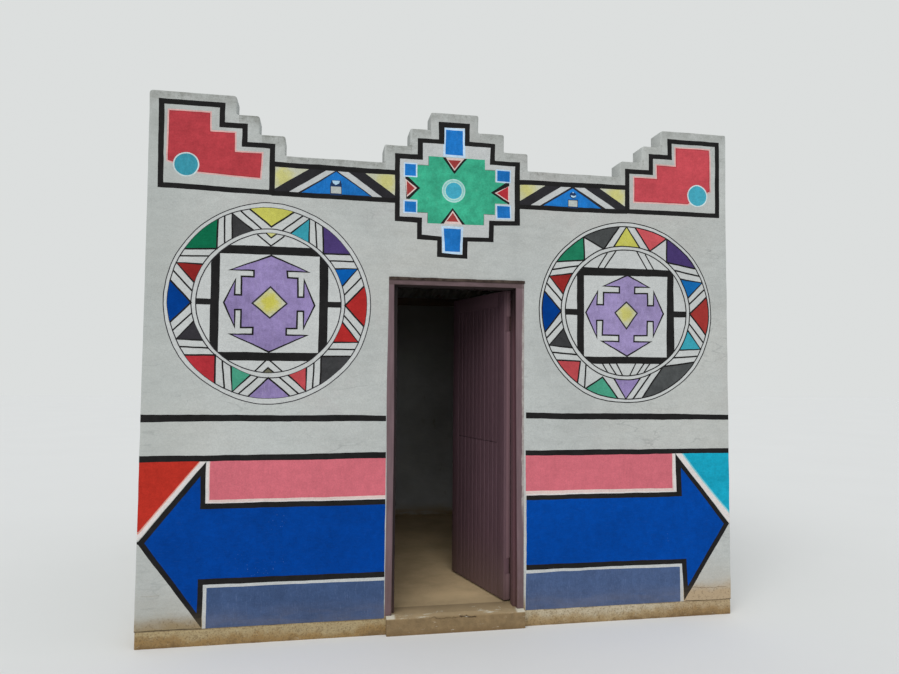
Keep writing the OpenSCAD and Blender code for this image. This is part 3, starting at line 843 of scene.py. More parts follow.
def paint_left_roundel(p):
    star = [(-1192, 2363), (-1439, 2266), (-1295, 2268), (-1295, 2228), (-1369, 2228), (-1367, 2111),
            (-1407, 2111), (-1404, 2205), (-1470, 2062), (-1403, 1913), (-1404, 2019), (-1366, 2020),
            (-1366, 1909), (-1294, 1911), (-1294, 1868), (-1430, 1867), (-1194, 1762), (-965, 1867),
            (-1093, 1868), (-1092, 1910), (-1028, 1910), (-1027, 2018), (-989, 2018), (-987, 1911),
            (-922, 2056), (-989, 2215), (-991, 2107), (-1026, 2107), (-1028, 2226), (-1090, 2228),
            (-1093, 2268), (-962, 2266)]
    segments = (
        ("yellow", [(-1329, 2654), (-1196, 2544), (-1059, 2642)]),
        ("soot", [(-1432, 2615), (-1304, 2521), (-1428, 2462)]),
        ("deep_green", [(-1514, 2575), (-1518, 2393), (-1705, 2384)]),
        ("maroon", [(-1754, 2298), (-1601, 2296), (-1651, 2179)]),
        ("navy", [(-1781, 2190), (-1662, 2057), (-1775, 1934)]),
        ("line_black", [(-1637, 1945), (-1743, 1832), (-1581, 1832)]),
        ("scarlet", [(-1691, 1736), (-1514, 1738), (-1509, 1569)]),
        ("aqua_green", [(-1421, 1666), (-1300, 1621), (-1408, 1517)]),
        ("violet", [(-1194, 1598), (-1313, 1484), (-1064, 1495)]),
        ("coral", [(-1075, 1619), (-965, 1666), (-966, 1520)]),
        ("soot", [(-870, 1733), (-695, 1742), (-879, 1562)]),
        ("crimson", [(-744, 1954), (-796, 1823), (-654, 1832)]),
        ("crimson", [(-618, 2188), (-728, 2062), (-607, 1929)]),
        ("azure", [(-794, 2296), (-656, 2299), (-740, 2185)]),
        ("plum", [(-879, 2561), (-872, 2386), (-704, 2388)]),
        ("light_cyan", [(-961, 2607), (-1075, 2516), (-962, 2458)]))
    lines = (
        ((-1381, 2633), (-1255, 2530)), ((-1475, 2597), (-1471, 2428)), ((-1730, 2339), (-1561, 2345)),
        ((-1772, 2251), (-1655, 2125)), ((-1763, 1884), (-1651, 1994)), ((-1721, 1787), (-1550, 1785)),
        ((-1471, 1706), (-1453, 1537)), ((-1372, 1499), (-1255, 1610)), ((-1129, 1607), (-1012, 1513)),
        ((-922, 1702), (-926, 1540)), ((-832, 1781), (-670, 1787)), ((-735, 1999), (-623, 1868)),
        ((-731, 2129), (-636, 2242)), ((-832, 2343), (-676, 2345)), ((-924, 2593), (-913, 2424)),
        ((-1003, 2624), (-1129, 2525)))
    inner_lines = (
        ((-1280, 2490), (-1194, 2422)), ((-1194, 2424), (-1115, 2490)),
        ((-1275, 1643), (-1208, 1711)), ((-1189, 1711), (-1111, 1643)))
    square = ((-1551, -839, 1706, 2421), [(-1498, 1758), (-894, 1758), (-894, 2368), (-1499, 2367)])
    rings = Rings(
        -1197, 2065, (627, 618, 621, 630, 628, 628, 626, 624, 615, 627, 623, 630),
        (602, 590, 591, 599, 604, 604, 603, 592, 589, 590, 593, 601),
        (464, 459, 455, 465, 458, 463, 465, 458, 453, 463, 461, 461),
        (440, 434, 433, 438, 433, 434, 438, 434, 432, 431, 432, 436))
    paint_roundel(
        p, rings, star, [(-1300, 2062), (-1194, 2168), (-1093, 2064), (-1194, 1972)], square,
        ((-1636, -1546, 2047, 2083), (-845, -758, 2047, 2083)), segments, lines, inner_lines,
        ("line_black", 7, False, 10, "violet"))
    for paint, notch in (("pale_yellow", [(-1228, 2503), (-1196, 2474), (-1160, 2503)]),
                         ("olive", [(-1228, 1635), (-1196, 1666), (-1161, 1635)])):
        p.fill(paint, notch)
        p.stroke(notch, 9)


def paint_right_roundel(p):
    star = [(1188, 2318), (1010, 2239), (1127, 2237), (1127, 2196), (1010, 2194), (1008, 2111), (960, 2111),
            (967, 2201), (882, 2057), (960, 1888), (960, 2003), (1003, 2003), (1001, 1904), (1120, 1904),
            (1119, 1861), (996, 1863), (1177, 1762), (1350, 1863), (1228, 1861), (1230, 1904), (1326, 1906),
            (1330, 2005), (1375, 2005), (1372, 1902), (1451, 2059), (1379, 2207), (1375, 2113), (1332, 2113),
            (1332, 2196), (1237, 2195), (1239, 2239), (1343, 2240)]
    segments = (
        ("yellow", [(1183, 2649), (1084, 2520), (1280, 2518)]),
        ("grey", [(873, 2560), (1130, 2648), (1010, 2502)]),
        ("salmon", [(1244, 2649), (1471, 2574), (1354, 2496)]),
        ("plum", [(1474, 2573), (1483, 2426), (1699, 2383)]),
        ("mid_blue", [(1575, 2306), (1741, 2282), (1642, 2174)]),
        ("rust", [(1777, 2183), (1656, 2064), (1762, 1917)]),
        ("light_cyan", [(1627, 1950), (1570, 1807), (1724, 1819)]),
        ("grey", [(1444, 1692), (1678, 1728), (1287, 1483)]),
        ("violet", [(1080, 1602), (1278, 1609), (1170, 1481)]),
        ("aqua_green", [(1001, 1620), (882, 1548), (1113, 1476)]),
        ("coral", [(672, 1731), (842, 1725), (818, 1575)]),
        ("soot", [(728, 1945), (617, 1827), (779, 1809)]),
        ("navy", [(592, 2192), (704, 2061), (594, 1917)]),
        ("maroon", [(630, 2293), (794, 2316), (723, 2174)]),
        ("leaf_green", [(866, 2575), (870, 2415), (684, 2388)]))
    lines = (
        ((1539, 2372), (1732, 2333)), ((1642, 2129), (1764, 2237)), ((1642, 1994), (1746, 1863)),
        ((1521, 1754), (1701, 1772)), ((1354, 1643), (1219, 1481)), ((880, 1704), (875, 1553)),
        ((646, 1784), (823, 1771)), ((711, 1994), (607, 1877)), ((605, 2248), (709, 2129)),
        ((648, 2338), (837, 2367)))
    inner_lines = (
        ((1038, 2468), (970, 2361)), ((1102, 2486), (1017, 2363)), ((1255, 2486), (1331, 2358)),
        ((1316, 2468), (1383, 2358)), ((1001, 1714), (1038, 1652)), ((1048, 1714), (1102, 1632)),
        ((1100, 1714), (1145, 1632)), ((1240, 1714), (1197, 1632)), ((1303, 1714), (1248, 1636)),
        ((1345, 1714), (1300, 1650)))
    square = ((819, 1529, 1711, 2365), [(868, 1758), (1468, 1758), (1481, 2318), (870, 2308)])
    rings = Rings(
        1180, 2063, (627, 630, 622, 619, 618, 625, 626, 629, 631, 614, 621, 628),
        (610, 606, 598, 591, 594, 603, 606, 605, 602, 591, 596, 601),
        (468, 468, 462, 456, 463, 467, 472, 465, 465, 461, 452, 460),
        (441, 441, 433, 431, 434, 440, 443, 437, 434, 434, 427, 435))
    paint_roundel(
        p, rings, star, [(1093, 2059), (1177, 2135), (1255, 2059), (1175, 1951)], square,
        ((740, 821, 2037, 2079), (1520, 1617, 2037, 2079)), segments, lines, inner_lines,
        ("black", 8, True, 11, "lilac"))


def front_painting():
    p = Painting()
    paint_lower_zone(p)
    paint_left_roundel(p)
    paint_right_roundel(p)
    paint_bands(p)
    paint_parapet_corners(p)
    paint_centre(p)
    return p


LINES_AT = {"left": ((1092, 1129), (1331, 1378)), "right": ((1099, 1132), (1326, 1361)),
            "back": ((1097, 1130), (1334, 1370))}


def side_painting(x0, x1, start, end):
    """The two lines of the front, carried round another wall from one corner to the next, in millimetres."""
    p = Painting()
    for (low, high), (last_low, last_high) in zip(LINES_AT[start], LINES_AT[end]):
        p.line((x0, low, high), ((x0 + x1) / 2, low + 2, high + 1), (x1, last_low, last_high))
    return p


def inside(points, loop):
    """Which of many points lie in a closed loop."""
    x, y = points[:, 0], points[:, 1]
    hit = np.zeros(len(points), bool)
    for (x0, y0), (x1, y1) in zip(loop, np.roll(loop, -1, axis=0)):
        if y0 != y1:
            hit ^= ((y0 > y) != (y1 > y)) & (x < x0 + (y - y0) * (x1 - x0) / (y1 - y0))
    return hit


def nearest(points):
    """A tree that finds the nearest of some points on the wall."""
    tree = KDTree(len(points))
    for i, p in enumerate(points):
        tree.insert((p[0], p[1], 0), i)
    tree.balance()
    return tree


def triangulate(loop, shapes, spacing):
    """Fills a loop with triangles that follow the shapes' edges. Returns points, triangles, each triangle's
    topmost shape or -1, and for each point the place of the loop's point that it came from or -1."""
    points = [tuple(p) for p in loop]
    edges = [(i, (i + 1) % len(loop)) for i in range(len(loop))]
    for _, rings in shapes:
        for ring in rings:
            first = len(points)
            points += ring
            edges += [(first + i, first + (i + 1) % len(ring)) for i in range(len(ring))]
    tree = nearest(points)
    outline = np.array(loop)
    low, high = outline.min(0), outline.max(0)
    grid = []
    for row in range(1, int((high[1] - low[1]) / spacing) + 1):
        shift = spacing * (0.25 if row % 2 else 0.75)
        for column in range(int((high[0] - low[0]) / spacing) + 1):
            p = (low[0] + shift + column * spacing, low[1] + row * spacing)
            if tree.find((p[0], p[1], 0))[2] > 0.42 * spacing:
                grid.append(p)
    grid = np.array(grid)
    points += [tuple(p) for p in grid[inside(grid, outline)]]
    made = delaunay_2d_cdt([Vector(p) for p in points], edges, [], 0, 1e-6, True)
    flat = np.array([tuple(v) for v in made[0]])
    triangles = np.array(made[2])
    middles = flat[triangles].mean(1)
    kept = inside(middles, outline)
    triangles, middles = triangles[kept], middles[kept]
    topmost = np.full(len(triangles), -1)
    for number, (_, rings) in enumerate(shapes):
        every = np.array([p for ring in rings for p in ring])
        near = np.all((middles >= every.min(0)) & (middles <= every.max(0)), axis=1)
        if near.any():
            hit = np.zeros(near.sum(), bool)
            for ring in rings:
                hit ^= inside(middles[near], np.array(ring))
            topmost[np.flatnonzero(near)[hit]] = number
    sources = [min(ids) if ids and min(ids) < len(loop) else -1 for ids in made[3]]
    return flat, triangles, topmost, sources


def boundary(triangles):
    """The closed walk round a set of triangles, as (point, triangle) pairs."""
    open_edges = {}
    for number, (a, b, c) in enumerate(triangles):
        for start, end in ((a, b), (b, c), (c, a)):
            if (end, start) in open_edges:
                del open_edges[(end, start)]
            else:
                open_edges[(start, end)] = number
    onward = {start: (end, number) for (start, end), number in open_edges.items()}
    first = next(iter(onward))
    walk, here = [], first
    while True:
        end, number = onward[here]
        walk.append((here, number))
        here = end
        if here == first:
            return walk


def make_object(name, verts, faces, materials, indices=None, smooth=True, sharp=35, flat=()):
    """A mesh object with outward normals, smooth but for its sharp edges and its flat faces."""
    mesh = bpy.data.meshes.new(name)
    mesh.from_pydata([tuple(v) for v in verts], [], [tuple(int(i) for i in f) for f in faces])
    for material in materials:
        mesh.materials.append(material)
    if indices is not None:
        mesh.polygons.foreach_set("material_index", np.array(indices, np.int32))
    work = bmesh.new()
    work.from_mesh(mesh)
    bmesh.ops.recalc_face_normals(work, faces=work.faces)
    work.to_mesh(mesh)
    work.free()
    smooth_ones = np.full(len(mesh.polygons), smooth)
    smooth_ones[list(flat)] = False
    mesh.polygons.foreach_set("use_smooth", smooth_ones)
    if smooth:
        mesh.set_sharp_from_angle(angle=math.radians(sharp))
    made = bpy.data.objects.new(name, mesh)
    bpy.context.scene.collection.objects.link(made)
    return made


def add_piece(name, shape, material, slot, *nodes, body="house", **kinds):
    """A piece made of vertices and faces, on its body, with its finish and the solids that it stands for."""
    piece = make_object(name, *shape, [material], **kinds)
    settle(piece, body, slot, *nodes)


def settle(piece, body, slot, *nodes):
    """Puts a piece on its body and hides the solids that it stands for. The finish's name, slot, is not used.
    """
    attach(piece, body)
    if nodes:
        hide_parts(*nodes)
    return piece


def plaster_relief(x, z, seed):
    """How far a hand-floated wall stands out at a place, in metres."""
    broad = noise.noise(Vector((x * 2.1, z * 2.6, seed)))
    near = noise.noise(Vector((x * 7.0, z * 12.0, seed + 20)))
    return 0.0026 * broad + 0.0012 * near


FRONT_STEPS = 4
BACK_STEPS = 2


def wall_shell(name, outline, place, painting, paints, arris, seed, spacing, inner, wrap, sharp=35):
    """A closed plaster wall. Outline is a loop of (u, v), and place(u, v, depth) gives the point in space.
    Arris(u, v) gives the radii of the outer and inner edges there, inner(v) the inner face's material, and
    wrap(u, v, paint) the paint that runs on round the outer edge."""
    line = np.array(outline)
    along = np.roll(line, -1, axis=0) - np.roll(line, 1, axis=0)
    outward = np.stack([along[:, 1], -along[:, 0]], 1)
    outward /= np.linalg.norm(outward, axis=1)[:, None]
    radii = np.array([arris(u, v) for u, v in line])
    inset = line - outward * radii[:, :1]
    shapes = painting.shapes
    flat, triangles, topmost, _ = triangulate(inset, shapes, spacing)
    walk = boundary(triangles)

    tree = nearest(inset)
    names = sorted({paint for paint, _ in shapes} | {"plaster"})
    materials = [paints[n] for n in names] + inner["materials"]
    plain = names.index("plaster")

    used = sorted({int(i) for t in triangles for i in t})
    number = {old: new for new, old in enumerate(used)}
    verts = []
    for old in used:
        u, v = flat[old]
        fade = min(1.0, tree.find((u, v, 0))[2] / 0.07)
        verts.append(place(u, v, -plaster_relief(u, v, seed) * fade * fade * (3 - 2 * fade)))
    faces = [[number[int(i)] for i in t] for t in triangles]
    indices = [plain if t < 0 else names.index(shapes[t][0]) for t in topmost]

    rim = []
    starts, ends = inset, np.roll(inset, -1, axis=0)
    spans = ends - starts
    lengths = (spans ** 2).sum(1)
    lengths[lengths == 0] = 1.0
    for point, triangle in walk:
        p = flat[point]
        share = np.clip(((p - starts) * spans).sum(1) / lengths, 0, 1)
        gap = ((starts + spans * share[:, None] - p) ** 2).sum(1)
        i = int(gap.argmin())
        j, t = (i + 1) % len(inset), share[i]
        normal = outward[i] * (1 - t) + outward[j] * t
        front_r, back_r = radii[i] * (1 - t) + radii[j] * t
        rim.append((number[point], p + normal * front_r, normal, front_r, back_r, indices[triangle]))

    rows = [[r[0] for r in rim]]
    for k in range(1, FRONT_STEPS + 1):
        turn = math.pi / 2 * k / FRONT_STEPS
        rows.append(list(range(len(verts), len(verts) + len(rim))))
        for _, edge, normal, front_r, _, _ in rim:
            u, v = edge - normal * front_r * (1 - math.sin(turn))
            verts.append(place(u, v, front_r * (1 - math.cos(turn))))
    back_loop = []
    for k in range(BACK_STEPS + 1):
        turn = math.pi / 2 * (1 - k / BACK_STEPS)
        rows.append(list(range(len(verts), len(verts) + len(rim))))
        back_loop = []
        for _, edge, normal, _, back_r, _ in rim:
            u, v = edge - normal * back_r * (1 - math.sin(turn))
            verts.append(place(u, v, WALL_T - back_r * (1 - math.cos(turn))))
            back_loop.append((u, v))
    flat_faces = []
    for level, (row, after) in enumerate(zip(rows, rows[1:])):
        for i in range(len(rim)):
            j = (i + 1) % len(rim)
            if level == FRONT_STEPS and rim[i][2].dot(rim[j][2]) > 0.98:
                flat_faces.append(len(faces))
            faces.append([row[i], after[i], after[j], row[j]])
            if level < FRONT_STEPS - 1:
                indices.append(rim[i][5])
            else:
                u, v = rim[i][1]
                indices.append(names.index(wrap(u, v, names[rim[i][5]])))

    flat, triangles, _, sources = triangulate(back_loop, [], 0.09)
    number = {}
    for i, source in enumerate(sources):
        if source >= 0:
            number[i] = rows[-1][source]
    for t in triangles:
        for i in t:
            i = int(i)
            if i not in number:
                u, v = flat[i]
                number[i] = len(verts)
                verts.append(place(u, v, WALL_T + 0.5 * plaster_relief(u, v, seed + 5)))
        faces.append([number[int(i)] for i in t])
        indices.append(len(names) + inner["choose"](flat[t][:, 1].mean()))
    return make_object(name, verts, faces, materials, indices, sharp=sharp, flat=flat_faces)


def front_outline():
    """The front wall seen square on, from the foot at the left round to the top."""
    def corner_block(side, block, radius):
        """A corner block's corners, from its outer top corner down to the low parapet. Side is -1 or 1."""
        level = block[1].z
        out = [(side * HALF_W, level, radius)]
        for tread in (sum(CORNER_TREADS), CORNER_TREADS[1], 0.0):
            x = block[1 if side < 0 else 0].x + side * tread
            out.append((x, level, radius))
            level = level - STEP_H if tread else LOW_PARAPET
            out.append((x, level, NOOK_R))
        return out

    corners = [(-HALF_W, PLINTH_TOP, 0), (-FRAME_HALF, PLINTH_TOP, 0), (-FRAME_HALF, FRAME_TOP, 0),
               (FRAME_HALF, FRAME_TOP, 0), (FRAME_HALF, PLINTH_TOP, 0), (HALF_W, PLINTH_TOP, 0)]
    corners += corner_block(1, RIGHT_BLOCK, RIGHT_R)
    middle, wide, narrow, top = centre_steps()
    low, first, second = (LOW_PARAPET + k * STEP_H for k in range(3))
    for x, lower, upper in ((middle + wide, low, first), (middle + narrow, first, second),
                            (middle + TOP_SHIFT + top, second, CENTRE_BLOCK[1].z)):
        corners += [(x, lower, NOOK_R), (x, upper, CENTRE_R)]
    for x, lower, upper in ((middle + TOP_SHIFT - top, second, CENTRE_BLOCK[1].z),
                            (middle - narrow, first, second), (middle - wide, low, first)):
        corners += [(x, upper, CENTRE_R), (x, lower, NOOK_R)]
    corners += corner_block(-1, LEFT_BLOCK, LEFT_R)[::-1]
    spacing, unevenness, lean_right, lean_left = 0.014, 0.0022, 0.006, 0.003
    loop = []
    for u, v in spaced(rounded(corners), spacing):
        free = 1.0 if v > PLINTH_TOP + 0.02 and (abs(u) > FRAME_HALF + 0.05 or v > FRAME_TOP + 0.05) else 0.0
        wander = noise.noise_vector(Vector((u * 7, v * 7, 2.0))) * unevenness * free
        lean = (lean_right if u > 0 else lean_left) * min(1.0, max(0.0, (v - LEAN_FROM) / LEAN_RUN))
        outward = math.copysign(lean, u) if near_side(u) else 0.0
        loop.append((u + wander.x + outward, v + wander.y))
    return loop


def near_side(u):
    """Whether a place on the front is at its left or right edge."""
    return abs(u) > HALF_W - 0.03


def build_front(paints):
    sharp_r, left_r, right_r, inner_r, hidden_r = 0.0012, 0.009, 0.005, 0.005, 0.0002

    def arris(u, v):
        at_door = abs(u) < FRAME_HALF + 0.02 and v < FRAME_TOP + 0.02
        if at_door or v < PLINTH_TOP + 0.01:
            return sharp_r, sharp_r
        meets_side_wall = near_side(u) and v < SIDE_HIGH + 0.02
        return right_r if near_side(u) and u > 0 else left_r, hidden_r if meets_side_wall else inner_r

    def wrap(u, v, paint):
        on_line = abs(abs(u) - HALF_W) < 0.01 and 1.09 < v < 1.38
        return "black" if on_line and paint == "black" else "plaster"

    inner = {"materials": [paints["inside"], paints["plaster"]],
             "choose": lambda v: int(v > SIDE_HIGH + 0.05)}
    piece = wall_shell(
        "painted_front", front_outline(), lambda u, v, d: (u, FRONT_Y + d, v),
        front_painting(), paints, arris, 1.0, 0.030, inner, wrap)
    settle(piece, "house", "wall_plaster", "front_wall_left", "front_wall_right", "front_wall_head",
           "parapet_left_block", "parapet_centre_block", "parapet_right_block")


def plain_wall(end, u0, u1, top0, top1, place, paints, seed, outer_r):
    """A side or back wall: plain limewash with the two lines. Top0 and top1 are its heights at u0 and u1."""
    outline = spaced([(u0, PLINTH_TOP), (u1, PLINTH_TOP), (u1, top1), (u0, top0)], 0.05)
    hidden_r = 0.0002

    def arris(u, v):
        corner = min(u - u0, u1 - u) < MM and v > PLINTH_TOP + MM
        return (outer_r if corner else hidden_r), hidden_r

    inner = {"materials": [paints["inside"]], "choose": lambda v: 0}
    painting = side_painting((u0 - 0.02) / MM, (u1 + 0.02) / MM, end, "back")
    piece = wall_shell(f"{end}_wall_plaster", outline, place, painting, paints, arris, seed, 0.045, inner,
                       lambda u, v, paint: paint if paint == "black" else "plaster",
                       35 if outer_r > MM else 15)
    settle(piece, "house", "wall_plaster", end + "_wall")


def build_plain_walls(paints):
    for side, end in ((-1, "left"), (1, "right")):
        low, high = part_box(end + "_wall")
        plain_wall(end, low.y, high.y, SIDE_HIGH, SIDE_LOW,
                   lambda u, v, d, side=side: (side * (HALF_W - d), u, v), paints, 3.0 + side, 0.0002)
    fall = WALL_T * math.tan(ROOF_PITCH)
    outer_top = BACK_HIGH.z - fall
    span = outer_top - PLINTH_TOP

    def back_place(u, v, d):
        return u, BACK_HIGH.y - d, v + fall * d / WALL_T * (v - PLINTH_TOP) / span

    plain_wall("back", -HALF_W, HALF_W, outer_top, outer_top, back_place, paints, 8.0, 0.013)


def inside_wash():
    """Dull whitewash inside the room, with painted shade that darkens it toward the roof."""
    look = Look("inside_whitewash", (193, 196, 197), 0.92, 0.12)
    look.shade(look.noise(2.2, 5, 0.6).run(0.3, 0.7), 0.85, 1.06)
    # Painted shade: darker with height, from 1.3 m up to 2.4 m.
    look.coat((92, 86, 76), look.z.run(1.3, 2.4, 0.0, 0.85))
    look.coat((128, 118, 102), look.noise(9.0, 6, 0.7, (1, 1, 0.6), 6.0).run(0.60, 0.74, 0.0, 0.4))
    stain_with_soil(look)
    return look.finish(float_marks(look), 0.0035, 0.6)


def loft(rings, closed=False):
    """Vertices and faces that join equal rings of points, with flat ends unless closed."""
    count = len(rings[0])
    verts = [p for ring in rings for p in ring]
    faces = []
    for k in range(len(rings) if closed else len(rings) - 1):
        a, b = k * count, (k + 1) % len(rings) * count
        faces += [(a + i, a + (i + 1) % count, b + (i + 1) % count, b + i) for i in range(count)]
    if not closed:
        faces.append(tuple(range(count))[::-1])
        faces.append(tuple(range(len(verts) - count, len(verts))))
    return verts, faces


def joined(parts):
    """One list of vertices and faces from several."""
    verts, faces = [], []
    for more_verts, more_faces in parts:
        faces += [tuple(i + len(verts) for i in face) for face in more_faces]
        verts += more_verts
    return verts, faces


def eased_box(low, high, r=0.002):
    """A box with rounded arrises, as stacked rounded outlines along z."""
    (x0, y0, z0), (x1, y1, z1) = low, high

    def ring(inset, z):
        corner = max(r - inset, r * 0.25)
        outline = rounded([(x0 + inset, y0 + inset, corner), (x1 - inset, y0 + inset, corner),
                           (x1 - inset, y1 - inset, corner), (x0 + inset, y1 - inset, corner)], 3)
        return [(x, y, z) for x, y in outline]

    return loft([ring(r, z0), ring(0.3 * r, z0 + 0.3 * r), ring(0, z0 + r), ring(0, z1 - r),
                 ring(0.3 * r, z1 - 0.3 * r), ring(r, z1)])


def plinth_look():
    """Rough plaster foot: gritty grey-cream, soil-brown where rain throws mud at it."""
    look = Look("plinth_soiled", (172, 154, 118), 0.94, 0.1)
    east, far = look.x.run(-0.4, 0.9), look.x.run(1.30, 1.65, 0.0, 0.85)
    cream = look.mix(far, look.mix(east, (172, 154, 118), (190, 177, 152)), (174, 152, 118))
    ochre = look.mix(far, look.mix(east, (150, 122, 80), (168, 146, 110)), (150, 122, 84))
    wide, near = look.noise(2.6, 4, 0.6, (1, 1, 0.4)), look.noise(16.0, 6, 0.7, offset=9.0)
    height = look.z + ((wide - 0.5) * 0.20 + (near - 0.5) * 0.10)
    look.colour = look.mix(height.run(0.020, 0.070), ochre, cream)
    low = look.x.run(-1.9, -1.4, 0.052, 0.022)
    look.coat((146, 120, 82), height.math("LESS_THAN", low) * 0.40)
    look.coat(DARK_SOIL, height.run(-0.02, 0.016, 0.75, 0.0))
    look.coat((142, 122, 90), look.noise(24.0, 6, 0.72, (1, 1, 1.6), 21.0).run(0.44, 0.64, 0.0, 0.32))
    look.coat((192, 184, 164), look.noise(28.0, 6, 0.72, (1, 1, 1.6), 61.0).run(0.58, 0.72, 0.0, 0.45))
    look.coat((104, 86, 60), look.noise(105.0, 4, 0.7, offset=3.0).run(0.50, 0.62, 0.0, 0.55))
    broken = look.noise(4.0, 5, 0.65, offset=40.0).run(0.40, 0.58, 0.25, 1.0)
    look.coat((88, 74, 54), look.z.run(0.0915, 0.0985, 0.0, 0.65) * broken)
    return look.finish(look.noise(80.0, 6, 0.72) + look.noise(16.0, 4, 0.6, offset=4.0), 0.005, 0.8)


def plinth_run(end, outer, along_x, material):
    """A course with a worn top edge along its outer face. Outer is -1 or 1: which way that face looks."""
    node = "plinth_" + end
    low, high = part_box(node)
    corner, set_in, skin = 0.009, 0.004, 0.006
    run, across = ((low.x, high.x), (low.y, high.y)) if along_x else ((low.y, high.y), (low.x, high.x))
    a0, a1 = run
    face, back = across if outer < 0 else across[::-1]
    profile = [(0.0, high.z * k / 8) for k in range(8)]
    profile += [(0.0004, high.z - 0.0055), (0.0014, high.z - 0.0022), (0.0036, high.z)]
    profile += [(abs(back - face), high.z), (abs(back - face), 0.0)]
    if along_x:
        a0, a1 = max(a0, set_in - HALF_W), min(a1, HALF_W - set_in)
    count = max(4, round((a1 - a0) / 0.014))
    near_end = [corner * share for share in (0, 0.12, 0.35, 0.65, 1)]
    middle = [corner + (a1 - a0 - 2 * corner) * k / count for k in range(1, count)]
    rings = []
    for place in near_end + middle + [a1 - a0 - d for d in near_end[::-1]]:
        a = a0 + place
        from_corner = min(HALF_W - set_in - abs(a), corner) if along_x else corner
        worn = corner - math.sqrt(corner ** 2 - (corner - from_corner) ** 2)
        chip = max(0.0, noise.noise(Vector((a * 17, 1.0, low.y))) - 0.30) * 0.010
        ring = []
        for depth, z in profile:
            rough = 0.0
            if depth < skin:
                rough = 0.0016 * noise.noise(Vector((a * 11, z * 26, 4.0)))
                rough += 0.0009 * noise.noise(Vector((a * 45, z * 70, 9.0)))
                rough += 0.0023 + worn + (chip if z > high.z - 0.01 else 0.0)
            c = face - outer * (depth + max(0.0, rough))
            drop = 0.6 * chip if depth < skin and z > high.z - 0.003 else 0.0
            ring.append((a, c, z - drop) if along_x else (c, a, z - drop))
        rings.append(ring)
    add_piece("foot_" + end, loft(rings), material, "plinth_plaster", node, sharp=50)


def build_plinth():
    material = plinth_look()
    for end, outer, along_x in (("front_left", -1, True), ("front_right", -1, True), ("left", -1, False),
                                ("right", 1, False), ("back", 1, True)):
        plinth_run(end, outer, along_x, material)


def lay_screed(look):
    """Trodden brown cement with dusty patches and pits."""
    look.shade(look.noise(2.6, 6, 0.65).run(0.3, 0.7), 0.80, 1.08)
    look.coat((206, 186, 150), look.noise(7.0, 6, 0.7, offset=5.0).run(0.52, 0.70, 0.0, 0.4))
    look.coat(0.55, look.noise(55.0, 5, 0.7, offset=9.0).run(0.62, 0.72, 0.0, 0.4))


def threshold_look():
    """Brown trowelled concrete: a tread like the floor, a chipped edge gone dark, and drips of wall paint."""
    look = Look("threshold_worn", SCREED, 0.88, 0.12)
    lay_screed(look)
    trodden = look.mix(look.y.run(FRONT_Y + 0.03, INNER_Y), look.times(0.66), look.times(0.50))
    look.start((134, 113, 83))
    look.shade(look.noise(6.0, 6, 0.68).run(0.3, 0.7), 0.82, 1.10)
    look.shade(look.noise(24.0, 6, 0.72, offset=7.0).run(0.36, 0.66), 0.88, 1.10)
    look.coat(DARK_SOIL, look.z.run(0.0, 0.045, 0.5, 0.0))
    crest = SILL_HIGH.z - 0.020
    tread = look.z.run(crest, SILL_HIGH.z - 0.006)
    look.coat(trodden, tread)
    pits = look.noise(90.0, 5, 0.75, offset=2.0).run(0.58, 0.68, 0.0, 0.5)
    look.coat(0.45, pits * (1.0 - tread))
    away = abs(look.z + look.noise(18.0, 5, 0.7).run(0.2, 0.8, -0.010, 0.010) - crest)
    for middle, half, thick, strength in ((-0.085, 0.105, 0.0014, 0.55), (0.070, 0.060, 0.0030, 0.85)):
        span = abs(look.x - middle).run(half * 0.8, half, strength, 0.0)
        look.coat((62, 48, 34), away.run(thick, thick + 0.003, 1.0, 0.0) * span)
    look.coat((206, 200, 184), look.noise(30.0, 6, 0.75, (0.35, 0.35, 2.4), 31.0).run(0.62, 0.68, 0.0, 0.8))
    top = look.z.run(SILL_HIGH.z - 0.016, SILL_HIGH.z - 0.008)
    edge = top * look.y.run(FRONT_Y - 0.006, FRONT_Y + 0.040, 1.0, 0.0)
    sideways = abs(look.x)
    drips = look.noise(26.0, 5, 0.65, (0.45, 2.2, 1), 8.0).run(0.54, 0.60, 0.0, 0.9)
    drips = edge * (drips * sideways.run(0.12, 0.24))
    look.coat((204, 198, 180), drips.math("MAXIMUM", edge * sideways.run(0.385, 0.405)))
    return look.finish(look.noise(70.0, 6, 0.7) + look.noise(12.0, 4, 0.6, offset=4.0), 0.005, 0.75)


def build_threshold():
    """The cast step: its front edge is worn right down, more so in the middle where people tread."""
    depth, top = SILL_HIGH.y - SILL_LOW.y, SILL_HIGH.z
    count = 80
    rings = []
    for k in range(count + 1):
        x = SILL_LOW.x + (SILL_HIGH.x - SILL_LOW.x) * k / count
        tread = math.exp(-((x + 0.03) / 0.26) ** 2)
        edge = 0.014 + 0.003 * tread
        fall = 0.009 + 0.005 * tread + 0.003 * noise.noise(Vector((x * 5, 7.0, 2.0)))
        corners = [(MM, 0.0, 0), (MM, top - fall, edge), (0.045, top, 0.02), (depth, top, 0), (depth, 0.0, 0)]
        ring = []
        for y, z in spaced_profile(rounded(corners, 6), 0.012):
            rough = 0.0016 * noise.noise(Vector((x * 16, y * 16, z * 16)))
            rough += 0.0009 * noise.noise(Vector((x * 55, y * 55, z * 55)))
            inward = abs(rough) if z > 0 and y < depth - MM else 0.0
            shift, drop = inward if y < 0.012 else 0.0, inward if z > top - 0.03 else 0.0
            ring.append((x, SILL_LOW.y + y + shift, z - drop))
        rings.append(ring)
    add_piece("threshold_step", loft(rings), threshold_look(), "threshold_concrete", "door_threshold",
              sharp=50)


